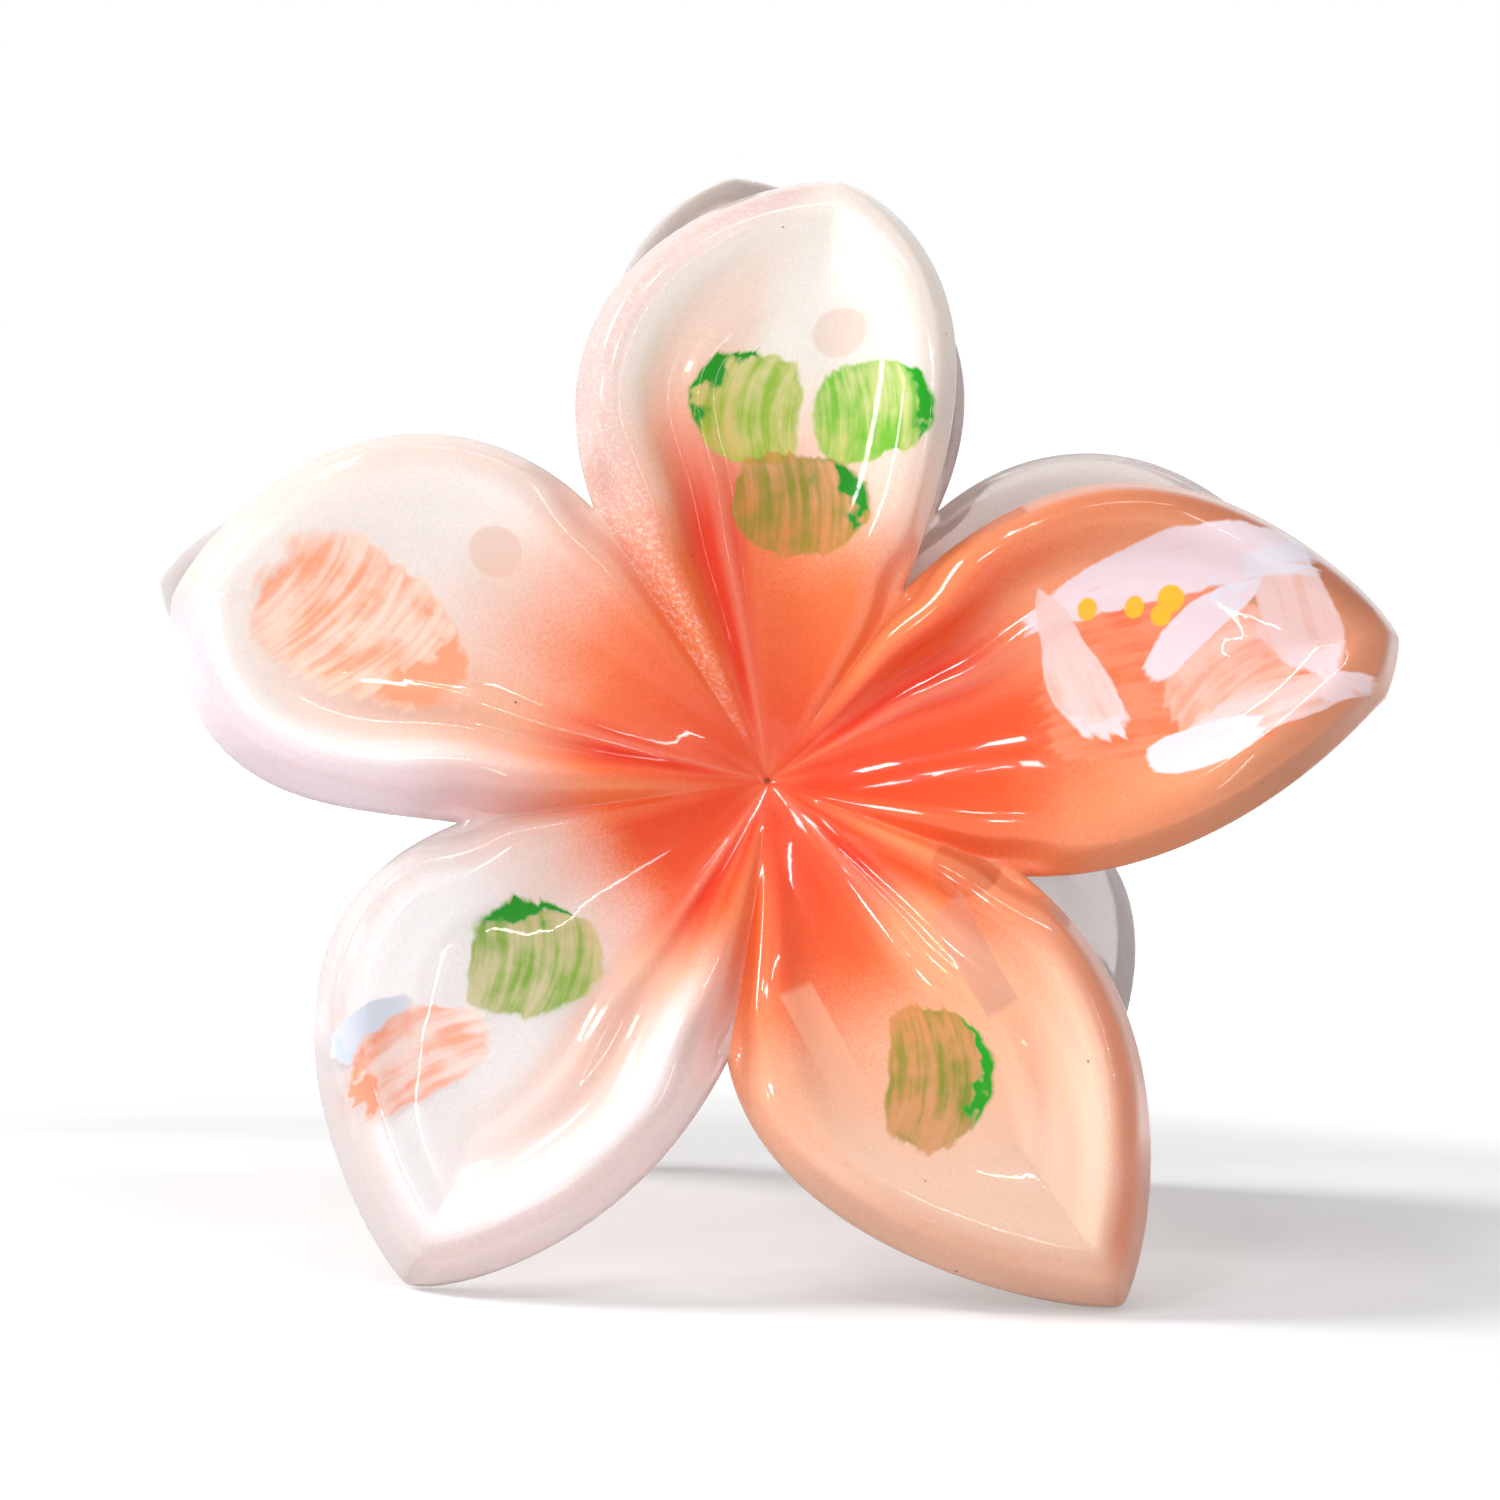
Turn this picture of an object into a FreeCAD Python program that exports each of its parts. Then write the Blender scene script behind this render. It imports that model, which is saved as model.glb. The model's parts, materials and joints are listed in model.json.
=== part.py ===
import FreeCAD, Part
import math
import os
import Sketcher
from FreeCAD import Placement, Rotation, Vector

# A hair claw made of two moulded flowers back to back.  Each flower is a jaw: its lower two petals are
# the thumb side, its upper three close on the hair.  A steel pin runs through four ears between the
# flowers, and a torsion spring on the pin spreads the thumb side and so keeps the grip shut.
#
# Frame: X to the right, the front flower faces -Y, +Z up.  The clip stands on its four lower petals at
# Z = 0, and the hinge axis lies over the origin, along X.
#
# Flower frame: x to the right, rise up the flower's face, lift out of the face.  The hub is its origin.

os.makedirs("parts", exist_ok=True)
doc = FreeCAD.newDocument("flower_claw")

# ---------------------------------------------------------------- driving dimensions, mm and degrees
SIZES = [
    ("lengthTop", 39.6, "hub to tip, top petal"),
    ("lengthLeft", 38.9, "hub to tip, left petal"),
    ("lengthLowerLeft", 39.5, "hub to tip, lower left petal"),
    ("lengthLowerRight", 40.1, "hub to tip, lower right petal"),
    ("lengthRight", 42.0, "hub to tip, right petal"),
    ("turnTop", -1.1, "turn of the top petal off its even place"),
    ("turnLeft", -3.2, "turn of the left petal"),
    ("turnLowerLeft", 1.3, "turn of the lower left petal"),
    ("turnLowerRight", -4.1, "turn of the lower right petal"),
    ("turnRight", -6.5, "turn of the right petal"),
    ("bendTop", -4.3, "further turn of the top petal's tip"),
    ("bendLeft", 6.7, "further turn of the left petal's tip"),
    ("bendLowerLeft", 2.0, "further turn of the lower left petal's tip"),
    ("bendLowerRight", 3.0, "further turn of the lower right petal's tip"),
    ("bendRight", 3.5, "further turn of the right petal's tip"),
    ("notchTop", 18.3, "hub to the notch after the top petal, counter-clockwise"),
    ("notchLeft", 18.8, "hub to the notch after the left petal"),
    ("notchLowerLeft", 20.2, "hub to the notch after the lower left petal"),
    ("notchLowerRight", 19.4, "hub to the notch after the lower right petal"),
    ("notchRight", 14.6, "hub to the notch after the right petal"),
    ("petalHalfWidth", 17.1, "half the width of a petal, before it is drawn in to its notches"),
    ("widestAt", 22.5, "distance from the hub where a petal starts to narrow"),
    ("driftAcross", -2.1, "sideways offset of the petals' middles from the hub"),
    ("driftUp", 1.7, "upward offset of the petals' middles from the hub"),
    ("hubRadius", 1.5, "flat spot in the middle of the flower"),
    ("bowlRise", 6.7, "lift of the face at its highest ring"),
    ("bowlRing", 29.0, "radius of that ring"),
    ("tipDrop", 4.0, "fall of the face from that ring to the tips"),
    ("tipReach", 12.0, "distance over which it falls by tipDrop"),
    ("wall", 2.5, "thickness of a petal"),
    ("rimRise", 1.7, "height of the rolled rim on a petal's raised side"),
    ("rimLow", 0.9, "height of the rim on its tucked side"),
    ("rimInset", 2.8, "distance of the rim's crest from the edge"),
    ("edgeDrop", 0.9, "rounding of the edge"),
    ("dishDepth", 1.2, "depth of the dish between the rims"),
    ("grooveDepth", 0.5, "depth of the groove beside the rolled rim"),
    ("foldRise", 0.45, "height of the fold line beside the groove"),
    ("lean", 17.0, "angle by which each flower leans back over the hinge"),
    ("tipGap", 0.8, "gap between the two top petals when shut"),
    ("pinDiameter", 2.0, "hinge pin"),
    ("pinOverhang", 0.5, "pin past the outer ears at each end"),
    ("pinChamfer", 0.3, "chamfer of the pin's ends"),
    ("runningClearance", 0.05, "radial clearance of the pin in the inner ears"),
    ("earRadius", 3.4, "round end of an ear about the pin"),
    ("earRoot", 5.6, "half the height of an ear where it enters the flower"),
    ("earThickness", 2.4, "thickness of an ear"),
    ("earGap", 0.3, "gap between an inner and an outer ear"),
    ("springBay", 4.3, "half the width between the inner ears"),
    ("skin", 1.2, "wall left in front of anything rooted behind a petal"),
    ("coilRadius", 3.4, "mean radius of the spring's coil"),
    ("wireDiameter", 1.1, "spring wire"),
    ("coilPitch", 1.25, "spacing of the coil's turns"),
    ("coilTurns", 4.0, "whole turns of the coil"),
    ("legDrop", 12.0, "distance down the flower at which a spring leg bears"),
    ("legClearance", 0.1, "gap between a spring leg and the flower"),
    ("pegRootRadius", 1.9, "grip peg where it leaves the petal"),
    ("pegEndRadius", 1.2, "grip peg at its end"),
    ("pegLength", 9.0, "grip peg, from its petal's back"),
    ("topPegAcross", 3.8, "grip peg behind the top petal, right of the hub"),
    ("topPegRise", 28.3, "the same peg, above the hub"),
    ("sidePegAcross", -17.5, "grip peg behind the left petal, right of the hub"),
    ("sidePegRise", 12.5, "the same peg, above the hub"),
    ("ribWidth", 2.4, "stiffening rib"),
    ("ribHeight", 1.6, "stiffening rib, from the petal's back"),
    ("ribLength", 10.0, "stiffening rib"),
    ("ribSpread", 5.5, "distance of each rib from the petal's middle"),
    ("ribMiddle", 18.0, "hub to the middle of a rib"),
]

PETALS = ["Top", "Left", "LowerLeft", "LowerRight", "Right"]   # counter-clockwise, seen from the front
PETAL_STEP = 360.0 / len(PETALS)
TOP_ANGLE = 90.0

# Shape of the curves; these are ratios and powers, not sizes.
TAPER_POWER = 2.15          # how late a petal narrows
TAPER_ROUND = 0.72          # how blunt its tip is
BOWL_POWER = 1.05           # how straight the face rises from the hub
DRIFT_POWER = 1.9           # where along the petals the drift peaks
DRIFT_ROUND = 0.8
RIM_SPREAD = 0.55           # the rest are widths and places counted in rim insets
GROOVE_PLACE = 1.95
FOLD_PLACE = 2.75
FOLD_SPREAD = 0.4
DISH_START = 0.7
DISH_END = 3.2
EDGE_SPAN = 0.5
BACK_DISH = 0.8             # share of the dish that the back follows
SIDE_BLEND = 0.3            # half the share of a petal over which one side's rim turns into the other's
GROOVE_FADE = (0.6, 0.85)   # shares of a petal's length over which groove and fold die out
HUB_FADE = 0.6              # share of the mean notch radius over which the relief grows from the hub
ALONG_POLES = 21            # control points of a petal's surfaces
ACROSS_POLES = 33
EDGE_CROWD = 0.22           # how much closer the points lie towards the outline
MIDDLE_CROWD = 0.7          # how much closer they lie at the middle line and the seams
OUTLINE_STEPS = 30


# ---------------------------------------------------------------- sheet

def makeSheet():
    made = doc.addObject("Spreadsheet::Sheet", "sizes")
    for row, (alias, value, note) in enumerate(SIZES, start=1):
        made.set("A%d" % row, note)
        made.set("B%d" % row, str(value))
        made.setAlias("B%d" % row, alias)
    return made


def addDerived(alias, value, note):
    row = len(SIZES) + 1 + len(derived)
    derived.append(alias)
    sheet.set("A%d" % row, note)
    sheet.set("B%d" % row, str(round(value, 4)))
    sheet.setAlias("B%d" % row, alias)
    doc.recompute()


def size(alias):
    return float(sheet.get(alias))


sheet = makeSheet()
derived = []
doc.recompute()


# ---------------------------------------------------------------- form of the flower

def ease(value, low, high):
    share = min(max((value - low) / (high - low), 0.0), 1.0)
    return share * share * (3.0 - 2.0 * share)


def ripple(value, middle, spread):
    # a smooth bump that starts at nothing where value is zero
    start = math.exp(-(middle / spread) ** 2)
    return math.exp(-((value - middle) / spread) ** 2) - start


def meanOf(kind):
    return sum(size(kind + petal) for petal in PETALS) / len(PETALS)


def petalAxis(index):
    return TOP_ANGLE + PETAL_STEP * index + size("turn" + PETALS[index % len(PETALS)])


def seamAfter(index):
    # the line between a petal and the next one counter-clockwise
    return (petalAxis(index) + petalAxis(index + 1)) / 2.0


def halfWidth(along, length):
    if along <= size("widestAt"):
        return size("petalHalfWidth")
    share = min((along - size("widestAt")) / (length - size("widestAt")), 1.0)
    return size("petalHalfWidth") * (1.0 - share ** TAPER_POWER) ** TAPER_ROUND


def plainRadius(turn, length):
    # the outline's distance from the hub, at an angle off the petal's middle line
    slope = math.tan(math.radians(abs(turn)))
    low, high = 0.0, length
    for _ in range(40):
        middle = (low + high) / 2.0
        if halfWidth(middle, length) > middle * slope:
            low = middle
        else:
            high = middle
    return math.hypot(low, halfWidth(low, length)) if slope > 0 else length


def petalSpan(index):
    # a petal's seams and middle line, as angles that rise counter-clockwise
    before = seamAfter(index - 1) if index else seamAfter(len(PETALS) - 1) - 360.0
    return before, petalAxis(index), seamAfter(index)


def petalNotches(index):
    return size("notch" + PETALS[index - 1]), size("notch" + PETALS[index])


def outlineRadius(index, angle):
    before, axis, after = petalSpan(index)
    length = size("length" + PETALS[index])
    seamTurn = after - axis if angle > axis else axis - before
    atSeam = plainRadius(seamTurn, length)
    reach = (plainRadius(angle - axis, length) - atSeam) / (length - atSeam)
    notch = petalNotches(index)[1 if angle > axis else 0]
    return notch + reach * (length - notch)


def acrossAngle(index, share):
    # share runs from -1 at the tucked seam, over 0 on the middle line, to 1 at the raised seam
    before, axis, after = petalSpan(index)
    if share < 0:
        return axis + share * (axis - before)
    return axis + share * (after - axis)


def petalBoundary(index):
    points = [(0.0, 0.0)]
    for step in range(-OUTLINE_STEPS, OUTLINE_STEPS + 1):
        angle = acrossAngle(index, step / OUTLINE_STEPS)
        radius = outlineRadius(index, angle)
        turn = math.radians(angle)
        points.append((radius * math.cos(turn), radius * math.sin(turn)))
    points.append((0.0, 0.0))
    return points


def boundaryDistance(boundary, x, rise):
    nearest = float("inf")
    for (x1, y1), (x2, y2) in zip(boundary, boundary[1:]):
        runX, runY = x2 - x1, y2 - y1
        along = ((x - x1) * runX + (rise - y1) * runY) / (runX * runX + runY * runY)
        along = min(max(along, 0.0), 1.0)
        nearest = min(nearest, math.hypot(x - x1 - along * runX, rise - y1 - along * runY))
    return nearest


def ringLift(radius):
    ring = size("bowlRing")
    if radius < ring:
        return size("bowlRise") * math.sin(math.pi / 2.0 * (radius / ring) ** BOWL_POWER)
    return size("bowlRise") - size("tipDrop") * ((radius - ring) / size("tipReach")) ** 2


def reliefParts(index, radius, angle):
    # the dish alone, then rims, groove, fold and rounded edge, all zero at the hub
    turn = math.radians(angle)
    edge = boundaryDistance(boundaries[index], radius * math.cos(turn), radius * math.sin(turn))
    before, axis, after = petalSpan(index)
    side = ease((angle - axis) / (after - before) * 2.0, -SIDE_BLEND, SIDE_BLEND)
    length = size("length" + PETALS[index])
    inset = size("rimInset") * min(1.0, radius / meanOf("notch"))
    inner = side * (1.0 - ease(radius, GROOVE_FADE[0] * length, GROOVE_FADE[1] * length))
    fade = ease(radius, size("hubRadius"), HUB_FADE * meanOf("notch"))
    rimHeight = size("rimLow") + (size("rimRise") - size("rimLow")) * side
    relief = rimHeight * ripple(edge, inset, RIM_SPREAD * inset)
    relief -= size("grooveDepth") * inner * ripple(edge, GROOVE_PLACE * inset, RIM_SPREAD * inset)
    relief += size("foldRise") * inner * ripple(edge, FOLD_PLACE * inset, FOLD_SPREAD * inset)
    relief -= size("edgeDrop") * (1.0 - ease(edge, 0.0, EDGE_SPAN * inset))
    dish = size("dishDepth") * ease(edge, DISH_START * inset, DISH_END * inset)
    return fade * dish, fade * relief


def faceLift(index, radius, angle):
    dish, relief = reliefParts(index, radius, angle)
    return ringLift(radius) - dish + relief


def backLift(index, radius, angle):
    dish, _ = reliefParts(index, radius, angle)
    return ringLift(radius) - size("wall") - BACK_DISH * dish


def drift(radius):
    share = min(radius / meanOf("length"), 1.0)
    amount = math.sin(math.pi * share ** DRIFT_POWER) ** DRIFT_ROUND if share < 1.0 else 0.0
    return size("driftAcross") * amount, size("driftUp") * amount


def tipTurn(index, radius):
    # a petal bends from its outer notch on
    return size("bend" + PETALS[index]) * ease(radius, max(petalNotches(index)), size("length" + PETALS[index]))


def flowerPoint(index, radius, angle, lift):
    # an upright flower facing -Y, hub at the origin
    turn = math.radians(angle + tipTurn(index, radius))
    across, up = drift(radius)
    return Vector(radius * math.cos(turn) + across, -lift, radius * math.sin(turn) + up)


def petalGrid(index, liftAt):
    grid = []
    for row in range(ALONG_POLES):
        step = row / (ALONG_POLES - 1)
        outward = step + EDGE_CROWD * math.sin(math.pi * step)
        points = []
        for column in range(ACROSS_POLES):
            place = 2.0 * column / (ACROSS_POLES - 1) - 1.0
            share = place - MIDDLE_CROWD * math.sin(2.0 * math.pi * place) / (2.0 * math.pi)
            angle = acrossAngle(index, share)
            edge = outlineRadius(index, angle)
            radius = size("hubRadius") + outward * (edge - size("hubRadius"))
            points.append(flowerPoint(index, radius, angle, liftAt(index, radius, angle)))
        grid.append(points)
    return grid


def evenKnots(poles):
    return [float(knot) for knot in range(poles - 2)], [4] + [1] * (poles - 4) + [4]


def petalSurface(grid):
    alongKnots, alongTimes = evenKnots(len(grid))
    acrossKnots, acrossTimes = evenKnots(len(grid[0]))
    surface = Part.BSplineSurface()
    surface.buildFromPolesMultsKnots(grid, alongTimes, acrossTimes, alongKnots, acrossKnots,
                                     False, False, 3, 3)
    return surface.toShape()


def rowEdge(points):
    knots, times = evenKnots(len(points))
    curve = Part.BSplineCurve()
    curve.buildFromPolesMultsKnots(points, times, knots, False, 3)
    return curve.toShape()


def flowerSolid(frontLift, rearLift):
    # five petals' fronts and backs, joined by a wall round the outline and a flat spot at the hub
    faces = []
    frontHub = []
    rearHub = []
    for index in range(len(PETALS)):
        front = petalGrid(index, frontLift)
        rear = petalGrid(index, rearLift)
        faces.append(petalSurface(front))
        faces.append(petalSurface(rear))
        faces.append(Part.makeRuledSurface(rowEdge(front[-1]), rowEdge(rear[-1])))
        frontHub.append(rowEdge(front[0]))
        rearHub.append(rowEdge(rear[0]))
    faces.append(Part.Face(Part.Wire(frontHub)))
    faces.append(Part.Face(Part.Wire(rearHub)))
    sewn = Part.Compound(faces)
    sewn.sewShape()
    solid = Part.Solid(sewn.Shells[0])
    if solid.Volume < 0:
        solid.reverse()
    return solid


boundaries = [petalBoundary(index) for index in range(len(PETALS))]


# ---------------------------------------------------------------- where the flowers stand

def worldDepth(rise, lift):
    # how far a point of the leaning flower lies in front of its hub
    leaning = math.radians(size("lean"))
    return -math.sin(leaning) * rise + math.cos(leaning) * lift


def worldRise(rise, lift):
    leaning = math.radians(size("lean"))
    return math.cos(leaning) * rise + math.sin(leaning) * lift


def gridPoints(liftAt):
    return [point for index in range(len(PETALS)) for row in petalGrid(index, liftAt) for point in row]


backPoints = gridPoints(backLift)
facePoints = gridPoints(faceLift)
nearest = max(-worldDepth(point.z, -point.y) for point in backPoints)
lowest = min(worldRise(point.z, -point.y) for point in backPoints + facePoints)
addDerived("setback", nearest + size("tipGap") / 2.0, "hinge axis to the hub of each flower")
addDerived("hingeHeight", -lowest, "floor to the hinge axis and the hubs")
print("setback %.3f  hinge height %.3f" % (size("setback"), size("hingeHeight")))


def jawPlacement(turned):
    standing = Placement(Vector(0, -size("setback"), size("hingeHeight")),
                         Rotation(Vector(1, 0, 0), -size("lean")))
    return Placement(Vector(), Rotation(Vector(0, 0, 1), 180)) * standing if turned else standing


def undrifted(x, rise):
    plainX, plainRise = x, rise
    for _ in range(6):
        across, up = drift(math.hypot(plainX, plainRise))
        plainX, plainRise = x - across, rise - up
    return plainX, plainRise


def backLiftAt(x, rise):
    # lift of the flower's back behind a point of the face
    plainX, plainRise = undrifted(x, rise)
    radius = math.hypot(plainX, plainRise)
    angle = math.degrees(math.atan2(plainRise, plainX))
    for index in range(len(PETALS)):
        before, _, after = petalSpan(index)
        turned = before + (angle - tipTurn(index, radius) - before) % 360.0
        if turned <= after:
            return backLift(index, radius, turned)
    return ringLift(radius) - size("wall")


# ---------------------------------------------------------------- flowers, and the stuff behind them

def addShape(name, shape, placement):
    made = doc.addObject("Part::Feature", name)
    made.Shape = shape
    made.Placement = placement
    return made


def skinnedLift(index, radius, angle):
    return faceLift(index, radius, angle) - size("skin")


def behindLift(index, radius, angle):
    return -(size("setback") + size("earRadius") + size("bowlRise"))


petalShape = flowerSolid(faceLift, backLift)
rootingShape = flowerSolid(skinnedLift, behindLift)      # all that may be rooted behind the face


# ---------------------------------------------------------------- ears

def sketchOn(body, role, name):
    plane = [feature for feature in body.Origin.OriginFeatures if feature.Role == role][0]
    sketch = body.newObject("Sketcher::SketchObject", name)
    sketch.AttachmentSupport = (plane, [""])
    sketch.MapMode = "FlatFace"
    return sketch


def earSketch(body, name, boreExpression):
    # seen along +X: from a wide root inside the flower to a round end about the pin, with the pin's bore
    sketch = sketchOn(body, "YZ_Plane", name)
    across = size("earRadius")
    wide = size("earRoot")
    reach = size("setback") + size("bowlRise")
    middle = Vector(0, 0, 0)
    end = sketch.addGeometry(Part.ArcOfCircle(Part.Circle(middle, Vector(0, 0, 1), across),
                                              -math.pi / 2.0, math.pi / 2.0), False)
    top = sketch.addGeometry(Part.LineSegment(Vector(0, across, 0), Vector(-reach, wide, 0)), False)
    root = sketch.addGeometry(Part.LineSegment(Vector(-reach, wide, 0), Vector(-reach, -wide, 0)), False)
    bottom = sketch.addGeometry(Part.LineSegment(Vector(-reach, -wide, 0), Vector(0, -across, 0)), False)
    bore = sketch.addGeometry(Part.Circle(middle, Vector(0, 0, 1), size("pinDiameter") / 2.0), False)
    sketch.addConstraint(Sketcher.Constraint("Coincident", end, 3, -1, 1))
    sketch.addConstraint(Sketcher.Constraint("Coincident", end, 2, top, 1))
    sketch.addConstraint(Sketcher.Constraint("Coincident", top, 2, root, 1))
    sketch.addConstraint(Sketcher.Constraint("Coincident", root, 2, bottom, 1))
    sketch.addConstraint(Sketcher.Constraint("Coincident", bottom, 2, end, 1))
    sketch.addConstraint(Sketcher.Constraint("PointOnObject", end, 2, -2))
    sketch.addConstraint(Sketcher.Constraint("PointOnObject", end, 1, -2))
    sketch.addConstraint(Sketcher.Constraint("Symmetric", root, 1, root, 2, -1))
    sketch.addConstraint(Sketcher.Constraint("Coincident", bore, 3, -1, 1))
    sized = [
        (Sketcher.Constraint("Radius", end, across), "sizes.earRadius"),
        (Sketcher.Constraint("Distance", root, 2.0 * wide), "2 * sizes.earRoot"),
        (Sketcher.Constraint("DistanceX", root, 1, -1, 1, reach), "sizes.setback + sizes.bowlRise"),
        (Sketcher.Constraint("Diameter", bore, size("pinDiameter")), boreExpression),
    ]
    for constraint, expression in sized:
        place = sketch.addConstraint(constraint)
        sketch.setExpression("Constraints[%d]" % place, expression)
    return sketch


def addEar(name, inward, boreExpression, turned):
    # inward is the expression for the ear's lower X, as it stands on an unturned flower
    body = doc.addObject("PartDesign::Body", name)
    sketch = earSketch(body, name + "_outline", boreExpression)
    pad = body.newObject("PartDesign::Pad", name + "_pad")
    pad.Profile = sketch
    pad.setExpression("Length", "sizes.earThickness")
    sketch.Visibility = False
    spin = Rotation(Vector(0, 0, 1), 180) if turned else Rotation()
    body.Placement = Placement(Vector(), spin * Rotation(Vector(1, 0, 0), -size("lean")))
    body.setExpression("Placement.Base.x", ("-(%s)" if turned else "%s") % inward)
    body.setExpression("Placement.Base.z", "sizes.hingeHeight")
    return body


def addEarPair(name, nearExpression, boreExpression, turned):
    near = addEar(name + "_right", nearExpression, boreExpression, turned)
    far = addEar(name + "_left", "-(%s) - sizes.earThickness" % nearExpression, boreExpression, turned)
    return [near, far]


# ---------------------------------------------------------------- grip pegs and stiffening ribs

def addPeg(name, across, rise, placement):
    # a tapered peg with a round end, from inside the petal towards the other flower
    cone = doc.addObject("Part::Cone", name + "_cone")
    cone.setExpression("Radius1", "sizes.pegRootRadius")
    cone.setExpression("Radius2", "sizes.pegEndRadius")
    cone.setExpression("Height", "sizes.wall + sizes.pegLength")
    root = Vector(across, -backLiftAt(across, rise) - size("wall"), rise)
    pointing = Rotation(Vector(0, 0, 1), Vector(0, 1, 0))
    cone.Placement = placement * Placement(root, pointing)
    tip = doc.addObject("Part::Sphere", name + "_tip")
    tip.setExpression("Radius", "sizes.pegEndRadius")
    end = root + Vector(0, size("wall") + size("pegLength"), 0)
    tip.Placement = placement * Placement(end, Rotation())
    return [cone, tip]


def addRib(name, side, placement):
    # a bar behind the lower right petal, beside its middle line
    turn = math.radians(petalAxis(PETALS.index("LowerRight")))
    outward = Vector(math.cos(turn), 0, math.sin(turn))
    backward = Vector(0, 1, 0)
    sideways = backward.cross(outward)
    middle = outward * size("ribMiddle") + sideways * (side * size("ribSpread"))
    back = -backLiftAt(middle.x, middle.z)
    corner = middle - outward * (size("ribLength") / 2.0) - sideways * (size("ribWidth") / 2.0)
    corner.y = back - size("wall")
    rib = doc.addObject("Part::Box", name)
    rib.setExpression("Length", "sizes.ribLength")
    rib.setExpression("Width", "sizes.ribWidth")
    rib.setExpression("Height", "sizes.wall + sizes.ribHeight")
    rib.Placement = placement * Placement(corner, Rotation(outward, sideways, backward, "ZXY"))
    return rib


# ---------------------------------------------------------------- jaws

def addJaw(name, ears, turned):
    placement = jawPlacement(turned)
    petals = addShape(name + "_petals", petalShape.copy(), placement)
    rooting = addShape(name + "_rooting", rootingShape.copy(), placement)
    rooted = list(ears)
    for petal in ("top", "side"):
        across = size(petal + "PegAcross")
        rise = size(petal + "PegRise")
        rooted += addPeg("%s_peg_%s" % (name, petal), across, rise, placement)
    for label, side in (("inner", 1), ("outer", -1)):
        rooted.append(addRib("%s_rib_%s" % (name, label), side, placement))
    gathered = doc.addObject("Part::MultiFuse", name + "_gathered")
    gathered.Shapes = rooted
    trimmed = doc.addObject("Part::Common", name + "_trimmed")
    trimmed.Base = gathered
    trimmed.Tool = rooting
    jaw = doc.addObject("Part::Fuse", name)
    jaw.Base = petals
    jaw.Tool = trimmed
    jaw.Label = name
    return jaw


innerEar = "sizes.springBay"
outerEar = "(sizes.springBay + sizes.earThickness + sizes.earGap)"
pressedBore = "sizes.pinDiameter"
runningBore = "sizes.pinDiameter + 2 * sizes.runningClearance"
frontEars = addEarPair("front_ear", outerEar, pressedBore, False)
rearEars = addEarPair("rear_ear", innerEar, runningBore, True)
frontJaw = addJaw("front_flower_jaw", frontEars, False)
rearJaw = addJaw("rear_flower_jaw", rearEars, True)


# ---------------------------------------------------------------- pin

def addPin():
    body = doc.addObject("PartDesign::Body", "hinge_pin")
    body.Label = "hinge_pin"
    sketch = sketchOn(body, "YZ_Plane", "pin_section")
    circle = sketch.addGeometry(Part.Circle(Vector(), Vector(0, 0, 1), size("pinDiameter") / 2.0), False)
    sketch.addConstraint(Sketcher.Constraint("Coincident", circle, 3, -1, 1))
    across = sketch.addConstraint(Sketcher.Constraint("Diameter", circle, size("pinDiameter")))
    sketch.setExpression("Constraints[%d]" % across, "sizes.pinDiameter")
    pad = body.newObject("PartDesign::Pad", "pin_length")
    pad.Profile = sketch
    pad.Midplane = True
    pad.setExpression("Length", "2 * (sizes.springBay + 2 * sizes.earThickness + sizes.earGap"
                                " + sizes.pinOverhang)")
    sketch.Visibility = False
    doc.recompute()
    ends = ["Edge%d" % (place + 1) for place, edge in enumerate(pad.Shape.Edges)
            if edge.Curve.TypeId == "Part::GeomCircle"]
    chamfer = body.newObject("PartDesign::Chamfer", "pin_ends")
    chamfer.Base = (pad, ends)
    chamfer.setExpression("Size", "sizes.pinChamfer")
    body.setExpression("Placement.Base.z", "sizes.hingeHeight")
    return body


# ---------------------------------------------------------------- spring

def springShape():
    # drawn round its own Z axis; angles run counter-clockwise, so a leg leaves along the tangent
    radius = size("coilRadius")
    rise = -size("legDrop")
    legX = size("springBay") - size("wireDiameter")
    lift = backLiftAt(legX, rise) - size("wireDiameter") / 2.0 / math.cos(math.radians(size("lean")))
    lift -= size("legClearance") / math.cos(math.radians(size("lean")))
    depth = -size("setback") - worldDepth(rise, lift)
    drop = worldRise(rise, lift)
    reach = math.hypot(depth, drop)
    legLength = math.sqrt(reach * reach - radius * radius)
    leaves = math.degrees(math.atan2(drop, depth) - math.atan2(legLength, radius)) % 360.0
    starts = 180.0 - leaves
    sweep = leaves - starts + 360.0 * size("coilTurns")
    height = size("coilPitch") * sweep / 360.0
    slope = size("coilPitch") / (2.0 * math.pi * radius)

    def place(angle, level):
        turn = math.radians(angle)
        return Vector(radius * math.cos(turn), radius * math.sin(turn), level)

    def heading(angle):
        turn = math.radians(angle)
        return Vector(-math.sin(turn), math.cos(turn), slope)

    coil = Part.makeHelix(size("coilPitch"), height, radius)
    coil.translate(Vector(0, 0, -height / 2.0))
    coil.rotate(Vector(), Vector(0, 0, 1), starts)
    first = place(starts, -height / 2.0)
    last = place(leaves, height / 2.0)
    rearEnd = first - heading(starts) * legLength
    frontEnd = last + heading(leaves) * legLength
    path = Part.Wire([Part.LineSegment(rearEnd, first).toShape()] + coil.Edges
                     + [Part.LineSegment(last, frontEnd).toShape()])
    section = Part.makeCircle(size("wireDiameter") / 2.0, rearEnd, heading(starts))
    print("spring: leg %.1f, sweep %.0f, height %.2f" % (legLength, sweep, height + size("wireDiameter")))
    return path.makePipeShell([Part.Wire([section])], True, True)


pin = addPin()
axisAlongX = Rotation(Vector(0, 1, 0), Vector(0, 0, 1), Vector(1, 0, 0), "ZXY")
spring = addShape("torsion_spring", springShape(), Placement(Vector(0, 0, size("hingeHeight")), axisAlongX))


# ---------------------------------------------------------------- check and write

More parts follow.
